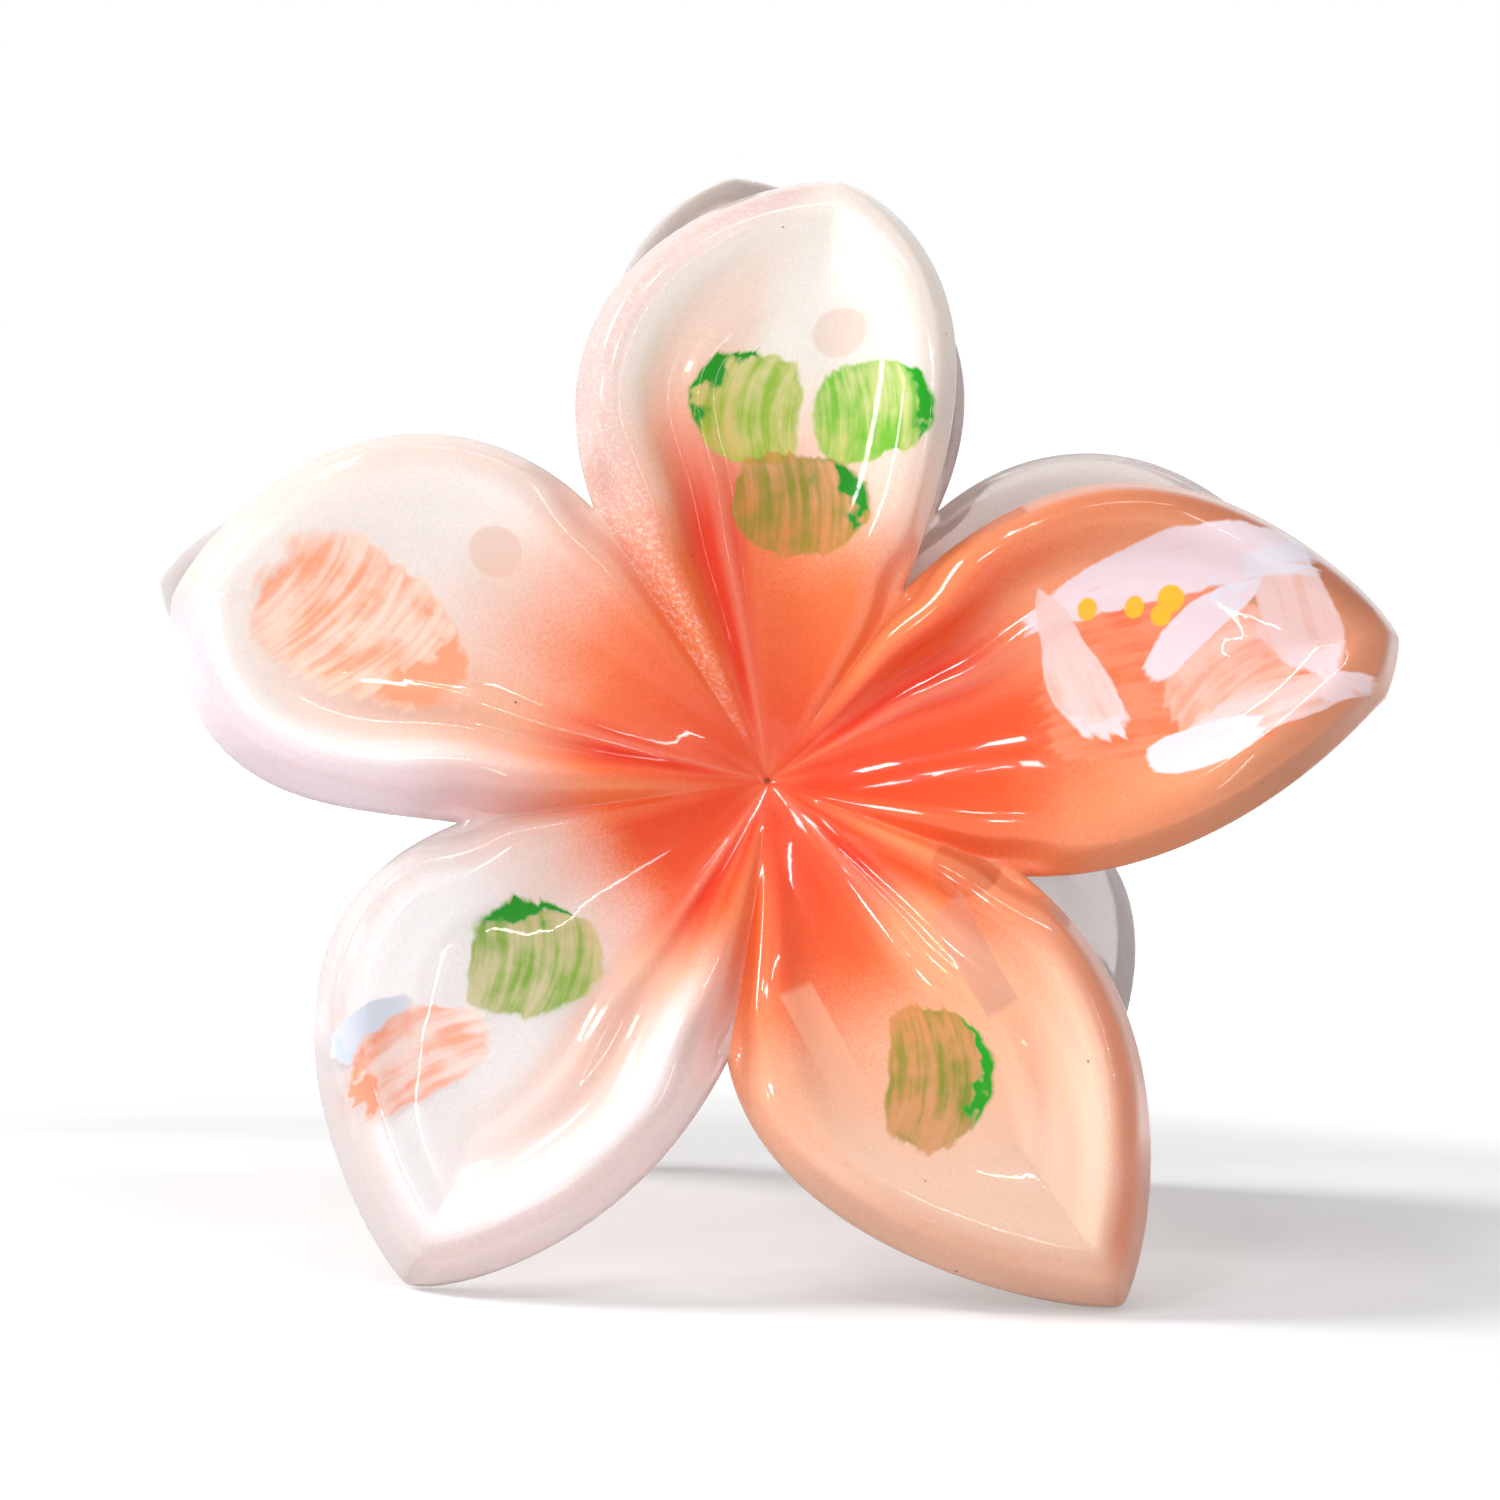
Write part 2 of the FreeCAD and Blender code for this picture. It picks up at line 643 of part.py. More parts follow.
NODES = [frontJaw, rearJaw, pin, spring]
doc.recompute()
for item in doc.Objects:
    if "Invalid" in item.State or "Error" in item.State:
        raise SystemExit("%s did not build: %s" % (item.Label, item.State))
for node in NODES:
    if node.Shape.isNull() or not node.Shape.isValid():
        raise SystemExit("%s has no valid shape" % node.Label)
for node in NODES:
    box = node.Shape.BoundBox
    print("%-18s solids %d  volume %9.2f  X %7.2f %7.2f  Y %7.2f %7.2f  Z %7.2f %7.2f" % (
        node.Label, len(node.Shape.Solids), node.Shape.Volume,
        box.XMin, box.XMax, box.YMin, box.YMax, box.ZMin, box.ZMax))
    node.Shape.exportStep("parts/%s.step" % node.Label)
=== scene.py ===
import json
import math
import bmesh
import bpy
from mathutils import Matrix, Vector
from mathutils.bvhtree import BVHTree


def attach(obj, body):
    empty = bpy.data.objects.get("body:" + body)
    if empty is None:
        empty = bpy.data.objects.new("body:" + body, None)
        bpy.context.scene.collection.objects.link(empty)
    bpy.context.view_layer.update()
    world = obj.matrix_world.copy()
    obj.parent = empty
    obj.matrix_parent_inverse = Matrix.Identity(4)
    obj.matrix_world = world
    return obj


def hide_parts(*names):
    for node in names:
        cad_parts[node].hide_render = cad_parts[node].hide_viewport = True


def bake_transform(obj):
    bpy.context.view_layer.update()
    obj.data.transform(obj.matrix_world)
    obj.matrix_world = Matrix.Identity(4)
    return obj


# A hair claw of two clear moulded flowers, sprayed orange from the middle and painted by hand, back to
# back on a steel pin with a torsion spring.  Sizes in the dictionaries are in mm and degrees.

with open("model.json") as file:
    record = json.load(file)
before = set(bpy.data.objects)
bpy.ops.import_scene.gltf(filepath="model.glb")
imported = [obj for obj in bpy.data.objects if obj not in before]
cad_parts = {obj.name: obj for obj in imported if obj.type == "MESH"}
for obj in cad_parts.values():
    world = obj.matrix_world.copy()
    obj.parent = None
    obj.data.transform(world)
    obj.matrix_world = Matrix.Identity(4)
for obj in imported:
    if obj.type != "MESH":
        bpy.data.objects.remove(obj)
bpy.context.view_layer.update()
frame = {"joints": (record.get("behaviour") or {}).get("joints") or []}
mm = 0.001
hinge = Vector(frame["joints"][0]["pos_m"])
print("frame loaded, hinge at", [round(value / mm, 2) for value in hinge])


def colour(hexCode, alpha=1.0):
    # sRGB hex to the linear values that Blender's sockets take
    parts = [int(hexCode[place:place + 2], 16) / 255.0 for place in (1, 3, 5)]
    linear = [part / 12.92 if part <= 0.04045 else ((part + 0.055) / 1.055) ** 2.4 for part in parts]
    return (*linear, alpha)


def add(tree, kind, feeds=(), **settings):
    # adds a node; feeds pairs an input's name or number with a value, a socket, or a node's first output
    made = tree.nodes.new(kind)
    for name, value in settings.items():
        setattr(made, name, value)
    for place, source in dict(feeds).items():
        if isinstance(source, bpy.types.Node):
            source = source.outputs[0]
        if isinstance(source, bpy.types.NodeSocket):
            tree.links.new(source, made.inputs[place])
        else:
            made.inputs[place].default_value = source
    return made


# the flower's outline, the same rule as the moulding

flower = {
    "lengths": [39.6, 38.9, 39.5, 40.1, 41.97],      # hub to tip: top, left, lower left, lower right, right
    "turns": [-1.1, -3.2, 1.3, -4.1, -6.5],         # turn of each petal off its even place
    "bends": [-4.3, 6.7, 2.0, 3.0, 3.5],            # further turn of each petal's tip
    "notches": [18.3, 18.8, 20.2, 19.4, 14.6],      # hub to the notch after each petal
    "halfWidth": 17.1,                              # of a petal, before it is drawn in to its notches
    "widestAt": 22.5,
    "taperPower": 2.15,
    "taperRound": 0.72,
    "drift": (-2.1, 1.7),                           # sideways and upward offset of the petals' middles
    "driftPower": 1.9,
    "driftRound": 0.8,
    "setback": 10.949,                              # hinge axis to hub
    "lean": 17.0,
    "columns": 96,                                  # of the sheet, per petal
    "rows": 88,
    "halvings": 40,                                 # in the search for where a spoke meets the outline
    "middleCrowd": 0.7,
    "edgeCrowd": 0.25,
}
petalCount = len(flower["lengths"])
petalAxes = [90.0 + 360.0 / petalCount * place + turn for place, turn in enumerate(flower["turns"])]
meanLength = sum(flower["lengths"]) / petalCount
meanNotch = sum(flower["notches"]) / petalCount


def petalSpan(petal):
    before = petalAxes[petal - 1] - (360.0 if petal == 0 else 0.0)
    after = petalAxes[(petal + 1) % petalCount] + (360.0 if petal == petalCount - 1 else 0.0)
    return (before + petalAxes[petal]) / 2.0, petalAxes[petal], (petalAxes[petal] + after) / 2.0


def widthAt(along, length):
    if along <= flower["widestAt"]:
        return flower["halfWidth"]
    share = min((along - flower["widestAt"]) / (length - flower["widestAt"]), 1.0)
    return flower["halfWidth"] * (1.0 - share ** flower["taperPower"]) ** flower["taperRound"]


def plainRadius(turn, length):
    slope = math.tan(math.radians(abs(turn)))
    low, high = 0.0, length
    for _ in range(flower["halvings"]):
        middle = (low + high) / 2.0
        if widthAt(middle, length) > middle * slope:
            low = middle
        else:
            high = middle
    return math.hypot(low, widthAt(low, length)) if slope > 0 else length


def outlineRadius(petal, angle):
    before, axis, after = petalSpan(petal)
    length = flower["lengths"][petal]
    seam = plainRadius(after - axis if angle > axis else axis - before, length)
    reach = (plainRadius(angle - axis, length) - seam) / (length - seam)
    notch = flower["notches"][petal if angle > axis else petal - 1]
    return notch + reach * (length - notch)


def tipTurn(petal, radius):
    # a petal bends from its outer notch on
    notch = max(flower["notches"][petal], flower["notches"][petal - 1])
    share = min(max((radius - notch) / (flower["lengths"][petal] - notch), 0.0), 1.0)
    return flower["bends"][petal] * share * share * (3.0 - 2.0 * share)


def drifted(petal, radius, angle):
    share = min(radius / meanLength, 1.0)
    amount = math.sin(math.pi * share ** flower["driftPower"]) ** flower["driftRound"] if share < 1 else 0.0
    turn = math.radians(angle + tipTurn(petal, radius))
    return (radius * math.cos(turn) + amount * flower["drift"][0],
            radius * math.sin(turn) + amount * flower["drift"][1])


def sheetColumns():
    # petal, angle and outline radius of each spoke, counter-clockwise from the top petal's first seam
    columns = []
    for petal in range(petalCount):
        before, axis, after = petalSpan(petal)
        for column in range(flower["columns"]):
            place = 2.0 * column / flower["columns"] - 1.0
            share = place - flower["middleCrowd"] * math.sin(math.tau * place) / math.tau
            angle = axis + share * ((axis - before) if share < 0 else (after - axis))
            columns.append((petal, angle, outlineRadius(petal, angle)))
    return columns


def makeSheet():
    # the flat flower, hub in the middle, with its petal coordinates; the relief comes from Geometry Nodes
    columns = sheetColumns()
    rows = flower["rows"]
    wide = len(columns)
    points = [(0.0, 0.0, 0.0)]
    radii = [0.0]
    turns = [0.0]
    for row in range(1, rows + 1):
        step = row / rows
        outward = step + flower["edgeCrowd"] * math.sin(math.pi * step)
        for petal, angle, reach in columns:
            x, rise = drifted(petal, outward * reach, angle)
            points.append((x * mm, 0.0, rise * mm))
            radii.append(outward * reach)
            turns.append(angle - petalAxes[petal])
    faces = []
    facePetals = []
    for column in range(wide):
        after = (column + 1) % wide
        faces.append((0, 1 + column, 1 + after))
        facePetals.append(columns[column][0])
    for row in range(rows - 1):
        for column in range(wide):
            after = (column + 1) % wide
            inner, outer = 1 + row * wide, 1 + (row + 1) * wide
            faces.append((inner + column, outer + column, outer + after, inner + after))
            facePetals.append(columns[column][0])
    mesh = bpy.data.meshes.new("flowerSheet")
    mesh.from_pydata(points, [], faces)
    mesh.attributes.new("petal", "FLOAT", "FACE").data.foreach_set("value", [float(p) for p in facePetals])
    mesh.attributes.new("radius", "FLOAT", "POINT").data.foreach_set("value", [r * mm for r in radii])
    mesh.attributes.new("turn", "FLOAT", "POINT").data.foreach_set("value", turns)
    lengths = [0.0] + [flower["lengths"][columns[(place - 1) % wide][0]] * mm
                       for place in range(1, len(points))]
    mesh.attributes.new("length", "FLOAT", "POINT").data.foreach_set("value", lengths)
    seamPoints = {0} | {1 + row * wide + petal * flower["columns"] for row in range(rows)
                        for petal in range(petalCount)}
    seams = [edge.vertices[0] in seamPoints and edge.vertices[1] in seamPoints for edge in mesh.edges]
    mesh.attributes.new("seam", "BOOLEAN", "EDGE").data.foreach_set("value", seams)
    paintPlane(mesh, columns, radii)
    return mesh


def paintPlane(mesh, columns, radii):
    # a UV map in cm on the petal: U runs from the hub along the petal, V across it to the left
    wide = len(columns)
    plane = mesh.uv_layers.new(name="petalPlane")
    for face in mesh.polygons:
        petal = int(mesh.attributes["petal"].data[face.index].value)
        for loop in face.loop_indices:
            point = mesh.loops[loop].vertex_index
            if point == 0:
                plane.data[loop].uv = (0.0, 0.0)
                continue
            turn = math.radians(columns[(point - 1) % wide][1] - petalAxes[petal])
            turn = (turn + math.pi) % math.tau - math.pi
            plane.data[loop].uv = (radii[point] * math.cos(turn) / 10.0, radii[point] * math.sin(turn) / 10.0)


# relief of the petals, in Geometry Nodes

relief = {
    "Wall": 2.5,
    "Bowl rise": 6.7,                 # lift of the face at its highest ring
    "Bowl ring": 29.0,
    "Tip drop": 4.0,                  # fall of the face from the ring to the tips
    "Tip reach": 12.0,
    "Rim raised": 1.34,               # rolled rim on a petal's left side, which lies over the next petal
    "Rim tucked": 0.6,
    "Rim inset": 2.8,
    "Edge drop": 0.9,
    "Edge round": 1.25,
    "Dish": 1.2,
    "Groove": 0.32,
    "Notch radius": meanNotch,
    "Notch round": 5.0,               # how softly rim and seam run into each other at a notch
}


def reliefTree():
    tree = bpy.data.node_groups.new("petalRelief", "GeometryNodeTree")
    tree.interface.new_socket("Sheet", in_out="INPUT", socket_type="NodeSocketGeometry")
    for name in relief:
        tree.interface.new_socket(name, in_out="INPUT", socket_type="NodeSocketFloat")
    tree.interface.new_socket("Material", in_out="INPUT", socket_type="NodeSocketMaterial")
    tree.interface.new_socket("Flower", in_out="OUTPUT", socket_type="NodeSocketGeometry")
    size = add(tree, "NodeGroupInput").outputs
    radius = add(tree, "GeometryNodeInputNamedAttribute", {"Name": "radius"}, data_type="FLOAT").outputs[0]
    length = add(tree, "GeometryNodeInputNamedAttribute", {"Name": "length"}, data_type="FLOAT").outputs[0]
    turn = add(tree, "GeometryNodeInputNamedAttribute", {"Name": "turn"}, data_type="FLOAT").outputs[0]
    seam = add(tree, "GeometryNodeInputNamedAttribute", {"Name": "seam"}, data_type="BOOLEAN").outputs[0]

    # distance to the outline, and to the outline or a seam, rounded where these meet
    neighbours = add(tree, "GeometryNodeInputMeshEdgeNeighbors")
    rim = add(tree, "FunctionNodeCompare", {2: neighbours, 3: 1}, data_type="INT", operation="EQUAL")
    outline = add(tree, "GeometryNodeSeparateGeometry", {0: size["Sheet"], 1: rim}, domain="EDGE")
    seams = add(tree, "GeometryNodeSeparateGeometry", {0: size["Sheet"], 1: seam}, domain="EDGE")
    outer = add(tree, "GeometryNodeProximity", {0: outline}, target_element="EDGES").outputs["Distance"]
    inner = add(tree, "GeometryNodeProximity", {0: seams}, target_element="EDGES").outputs["Distance"]
    edge = add(tree, "ShaderNodeMath", {0: outer, 1: inner, 2: size["Notch round"]}, operation="SMOOTH_MIN")
    edge = add(tree, "ShaderNodeMath", {0: edge, 1: 0.0}, operation="MAXIMUM")

    # the raised side, and how far the relief has grown from the hub
    side = add(tree, "ShaderNodeMapRange", {0: turn, 1: -11.0, 2: 11.0}, interpolation_type="SMOOTHSTEP")
    share = add(tree, "ShaderNodeMath", {0: radius, 1: size["Notch radius"]}, operation="DIVIDE")
    grown = add(tree, "ShaderNodeMath", {0: share, 1: 1.0, 2: 0.5}, operation="SMOOTH_MIN")
    inset = add(tree, "ShaderNodeMath", {0: grown, 1: size["Rim inset"]}, operation="MULTIPLY")
    steps = add(tree, "ShaderNodeMath", {0: edge, 1: inset}, operation="DIVIDE")
    across = add(tree, "ShaderNodeMath", {0: steps, 1: 0.25}, operation="MULTIPLY", use_clamp=True)
    fade = add(tree, "ShaderNodeMapRange", {0: share, 1: 0.14, 2: 0.9}, interpolation_type="SMOOTHSTEP")
    along = add(tree, "ShaderNodeMath", {0: radius, 1: length}, operation="DIVIDE")
    inside = add(tree, "ShaderNodeMapRange", {0: along, 1: 0.85, 2: 0.6}, interpolation_type="SMOOTHSTEP")

    # sections across a petal: the rolled rim, and the groove and fold inside it; 1 is four insets
    rimCurve = add(tree, "ShaderNodeFloatCurve", {"Value": across})
    shape(rimCurve, [(0, 0), (0.035, 0.2), (0.09, 0.52), (0.16, 0.86), (0.24, 1), (0.32, 0.78),
                     (0.41, 0.28), (0.5, 0.05), (0.6, 0), (1, 0)])
    grooveCurve = add(tree, "ShaderNodeFloatCurve", {"Value": across})
    shape(grooveCurve, [(0, 0.5), (0.3, 0.5), (0.4, 0.25), (0.48, 0), (0.56, 0.2), (0.63, 0.8),
                        (0.68, 0.97), (0.75, 0.65), (0.86, 0.5), (1, 0.5)])
    rimHeight = add(tree, "ShaderNodeMix", {0: side, 2: size["Rim tucked"], 3: size["Rim raised"]})
    raised = add(tree, "ShaderNodeMath", {0: rimCurve, 1: rimHeight}, operation="MULTIPLY")
    folded = add(tree, "ShaderNodeMath", {0: grooveCurve, 1: 0.5}, operation="SUBTRACT")
    folding = add(tree, "ShaderNodeMath", {0: folded, 1: side}, operation="MULTIPLY")
    folding = add(tree, "ShaderNodeMath", {0: folding, 1: inside}, operation="MULTIPLY")
    folding = add(tree, "ShaderNodeMath", {0: folding, 1: 2.0}, operation="MULTIPLY")
    raised = add(tree, "ShaderNodeMath", {0: folding, 1: size["Groove"], 2: raised}, operation="MULTIPLY_ADD")
    drop = add(tree, "ShaderNodeMapRange", {0: steps, 1: 0.5, 2: 0.0}, interpolation_type="SMOOTHSTEP")
    dropped = add(tree, "ShaderNodeMath", {0: drop, 1: size["Edge drop"]}, operation="MULTIPLY")
    raised = add(tree, "ShaderNodeMath", {0: raised, 1: dropped}, operation="SUBTRACT")
    raised = add(tree, "ShaderNodeMath", {0: raised, 1: fade}, operation="MULTIPLY")
    dish = add(tree, "ShaderNodeMapRange", {0: steps, 1: 0.7, 2: 3.2}, interpolation_type="SMOOTHSTEP")
    dish = add(tree, "ShaderNodeMath", {0: dish, 1: size["Dish"]}, operation="MULTIPLY")
    dish = add(tree, "ShaderNodeMath", {0: dish, 1: fade}, operation="MULTIPLY")

    # the bowl: a quarter sine up to the ring, then a parabola down to the tips
    reach = add(tree, "ShaderNodeMath", {0: radius, 1: size["Bowl ring"]}, operation="DIVIDE")
    reach = add(tree, "ShaderNodeMath", {0: reach, 1: 1.0}, operation="MINIMUM")
    reach = add(tree, "ShaderNodeMath", {0: reach, 1: 1.05}, operation="POWER")
    reach = add(tree, "ShaderNodeMath", {0: reach, 1: math.pi / 2.0}, operation="MULTIPLY")
    bowl = add(tree, "ShaderNodeMath", {0: reach}, operation="SINE")
    bowl = add(tree, "ShaderNodeMath", {0: bowl, 1: size["Bowl rise"]}, operation="MULTIPLY")
    past = add(tree, "ShaderNodeMath", {0: radius, 1: size["Bowl ring"]}, operation="SUBTRACT")
    past = add(tree, "ShaderNodeMath", {0: past, 1: 0.0}, operation="MAXIMUM")
    past = add(tree, "ShaderNodeMath", {0: past, 1: size["Tip reach"]}, operation="DIVIDE")
    past = add(tree, "ShaderNodeMath", {0: past, 1: 2.0}, operation="POWER")
    past = add(tree, "ShaderNodeMath", {0: past, 1: size["Tip drop"]}, operation="MULTIPLY")
    bowl = add(tree, "ShaderNodeMath", {0: bowl, 1: past}, operation="SUBTRACT")

    front = add(tree, "ShaderNodeMath", {0: bowl, 1: dish}, operation="SUBTRACT")
    front = add(tree, "ShaderNodeMath", {0: front, 1: raised}, operation="ADD")
    back = add(tree, "ShaderNodeMath", {0: bowl, 1: size["Wall"]}, operation="SUBTRACT")
    back = add(tree, "ShaderNodeMath", {0: dish, 1: -0.8, 2: back}, operation="MULTIPLY_ADD")

    # both faces meet in a half round at the outline
    middle = add(tree, "ShaderNodeMix", {0: 0.5, 2: front, 3: back})
    short = add(tree, "ShaderNodeMapRange", {0: outer, 1: 0.0, 2: size["Edge round"], 3: 1.0, 4: 0.0})
    roundness = add(tree, "ShaderNodeMath", {0: short, 1: 2.0}, operation="POWER")
    roundness = add(tree, "ShaderNodeMath", {0: 1.0, 1: roundness}, operation="SUBTRACT")
    roundness = add(tree, "ShaderNodeMath", {0: roundness}, operation="SQRT")
    faces = []
    for lift in (front, back):
        lifted = add(tree, "ShaderNodeMix", {0: roundness, 2: middle, 3: lift})
        outward = add(tree, "ShaderNodeMath", {0: lifted, 1: -1.0}, operation="MULTIPLY")
        offset = add(tree, "ShaderNodeCombineXYZ", {1: outward})
        stored = add(tree, "GeometryNodeStoreNamedAttribute",
                     {"Geometry": size["Sheet"], "Name": "steps", "Value": steps}, data_type="FLOAT")
        faces.append(add(tree, "GeometryNodeSetPosition", {"Geometry": stored, "Offset": offset}))
    turned = add(tree, "GeometryNodeFlipFaces", {0: faces[1]})
    joined = add(tree, "GeometryNodeJoinGeometry", {0: faces[0]})
    tree.links.new(turned.outputs[0], joined.inputs[0])
    merged = add(tree, "GeometryNodeMergeByDistance", {"Geometry": joined, "Distance": 0.0005 * mm})
    smooth = add(tree, "GeometryNodeSetShadeSmooth", {"Geometry": merged})
    real = add(tree, "GeometryNodeRealizeInstances", {0: smooth})
    final = add(tree, "GeometryNodeSetMaterial", {"Geometry": real, "Material": size["Material"]})
    add(tree, "NodeGroupOutput", {0: final})
    return tree


def shape(curveNode, points):
    curve = curveNode.mapping.curves[0]
    curve.points[0].location = points[0]
    curve.points[1].location = points[-1]
    for point in points[1:-1]:
        curve.points.new(*point)
    curveNode.mapping.update()


def throughNodes(name, mesh, tree, sizes):
    # runs a Geometry Nodes tree on a mesh and returns the result as a plain object
    source = bpy.data.objects.new(name + "Source", mesh)
    bpy.context.scene.collection.objects.link(source)
    modifier = source.modifiers.new("made", "NODES")
    modifier.node_group = tree
    for socket in tree.interface.items_tree:
        if socket.in_out == "INPUT" and socket.name in sizes:
            modifier[socket.identifier] = sizes[socket.name]
    bpy.context.view_layer.update()
    graph = bpy.context.evaluated_depsgraph_get()
    evaluated = source.evaluated_get(graph)
    made = bpy.data.meshes.new_from_object(evaluated, preserve_all_data_layers=True, depsgraph=graph)
    made.name = name
    source.modifiers.remove(modifier)
    bpy.data.objects.remove(source)
    piece = bpy.data.objects.new(name, made)
    bpy.context.scene.collection.objects.link(piece)
    return piece


def standing(turned):
    # from the upright flower to where a jaw stands at rest
    put = Matrix.Translation((0.0, -flower["setback"] * mm, hinge.z))
    put = put @ Matrix.Rotation(math.radians(-flower["lean"]), 4, "X")
    return Matrix.Rotation(math.pi, 4, "Z") @ put if turned else put


# paint

brushInputs = ("Along", "Across", "Half length", "Half width", "Turn", "Bend", "Taper", "Dryness",
               "Squareness", "Thick side", "Seed")


def brushTree():
    # one dab of a flat brush in petal coordinates: bristle lines along it, and thick paint at one side
    tree = bpy.data.node_groups.new("brushDab", "ShaderNodeTree")
    tree.interface.new_socket("Petal point", in_out="INPUT", socket_type="NodeSocketVector")
    for name in brushInputs:
        tree.interface.new_socket(name, in_out="INPUT", socket_type="NodeSocketFloat")
    for name in ("Cover", "Lines", "Thick"):
        tree.interface.new_socket(name, in_out="OUTPUT", socket_type="NodeSocketFloat")
    given = add(tree, "NodeGroupInput").outputs
    centre = add(tree, "ShaderNodeCombineXYZ", {0: given["Along"], 1: given["Across"]})
    local = add(tree, "ShaderNodeVectorMath", {0: given["Petal point"], 1: centre}, operation="SUBTRACT")
    turned = add(tree, "ShaderNodeVectorRotate", {"Vector": local, "Angle": given["Turn"]},
                 rotation_type="Z_AXIS")
    parts = add(tree, "ShaderNodeSeparateXYZ", {0: turned}).outputs
    squared = add(tree, "ShaderNodeMath", {0: parts[0], 1: parts[0]}, operation="MULTIPLY")
    bent = add(tree, "ShaderNodeMath", {0: squared, 1: given["Bend"], 2: parts[1]}, operation="MULTIPLY_ADD")
    lengthShare = add(tree, "ShaderNodeMath", {0: parts[0], 1: given["Half length"]}, operation="DIVIDE")
    wider = add(tree, "ShaderNodeMath", {0: lengthShare, 1: given["Taper"], 2: 1.0}, operation="MULTIPLY_ADD")
    wider = add(tree, "ShaderNodeMath", {0: wider, 1: 0.1}, operation="MAXIMUM")
    width = add(tree, "ShaderNodeMath", {0: wider, 1: given["Half width"]}, operation="MULTIPLY")
    widthShare = add(tree, "ShaderNodeMath", {0: bent, 1: width}, operation="DIVIDE")
    seeded = add(tree, "ShaderNodeMath", {0: given["Seed"], 1: 7.3}, operation="MULTIPLY")

    # bristle lines about half a millimetre apart, long in the stroke's direction
    fine = add(tree, "ShaderNodeMath", {0: bent, 1: 1.8}, operation="MULTIPLY")
    coarse = add(tree, "ShaderNodeMath", {0: parts[0], 1: 0.16}, operation="MULTIPLY")
    stroke = add(tree, "ShaderNodeCombineXYZ", {0: fine, 1: coarse, 2: seeded})
    bristles = add(tree, "ShaderNodeTexNoise", {"Vector": stroke, "Scale": 1.0, "Detail": 2.5})

    # an oval whose edge wanders, with the bristles' ends running out at different lengths
    ragged = add(tree, "ShaderNodeMath", {0: bristles, 1: 0.5}, operation="SUBTRACT")
    lengthAbs = add(tree, "ShaderNodeMath", {0: lengthShare}, operation="ABSOLUTE")
    widthAbs = add(tree, "ShaderNodeMath", {0: widthShare}, operation="ABSOLUTE")
    lengthPower = add(tree, "ShaderNodeMath", {0: lengthAbs, 1: given["Squareness"]}, operation="POWER")
    widthPower = add(tree, "ShaderNodeMath", {0: widthAbs, 1: given["Squareness"]}, operation="POWER")
    away = add(tree, "ShaderNodeMath", {0: lengthPower, 1: widthPower}, operation="ADD")
    away = add(tree, "ShaderNodeMath", {0: ragged, 1: lengthPower, 2: away}, operation="MULTIPLY_ADD")
    shifted = add(tree, "ShaderNodeCombineXYZ", {2: seeded})
    shifted = add(tree, "ShaderNodeVectorMath", {0: turned, 1: shifted}, operation="ADD")
    wander = add(tree, "ShaderNodeTexNoise", {"Vector": shifted, "Scale": 0.4, "Detail": 3.0})
    wandering = add(tree, "ShaderNodeMath", {0: wander, 1: 0.5}, operation="SUBTRACT")
    away = add(tree, "ShaderNodeMath", {0: wandering, 1: 1.1, 2: away}, operation="MULTIPLY_ADD")
    cover = add(tree, "ShaderNodeMapRange", {0: away, 1: 1.1, 2: 0.84}, interpolation_type="SMOOTHSTEP")

    # lines of more and less paint, and the ground between them where the brush ran dry
    wet = add(tree, "ShaderNodeMath", {0: bristles, 1: given["Dryness"]}, operation="SUBTRACT")
    wet = add(tree, "ShaderNodeMath", {0: wandering, 1: 0.9, 2: wet}, operation="MULTIPLY_ADD")
    lined = add(tree, "ShaderNodeMapRange", {0: wet, 1: -0.26, 2: 0.24}, interpolation_type="SMOOTHSTEP")

    # thick paint where the brush was set down
    sideAlong = add(tree, "ShaderNodeMath", {0: given["Thick side"]}, operation="COSINE")
    sideAcross = add(tree, "ShaderNodeMath", {0: given["Thick side"]}, operation="SINE")
    sideAlong = add(tree, "ShaderNodeMath", {0: sideAlong, 1: lengthShare}, operation="MULTIPLY")
    toSide = add(tree, "ShaderNodeMath", {0: sideAcross, 1: widthShare, 2: sideAlong},
                 operation="MULTIPLY_ADD")
    toSide = add(tree, "ShaderNodeMath", {0: wandering, 1: 2.2, 2: toSide}, operation="MULTIPLY_ADD")
    thick = add(tree, "ShaderNodeMapRange", {0: toSide, 1: 0.58, 2: 0.76}, interpolation_type="SMOOTHSTEP")
    thick = add(tree, "ShaderNodeMath", {0: thick, 1: cover}, operation="MULTIPLY")
    add(tree, "NodeGroupOutput", {0: cover, 1: lined, 2: thick})
    return tree


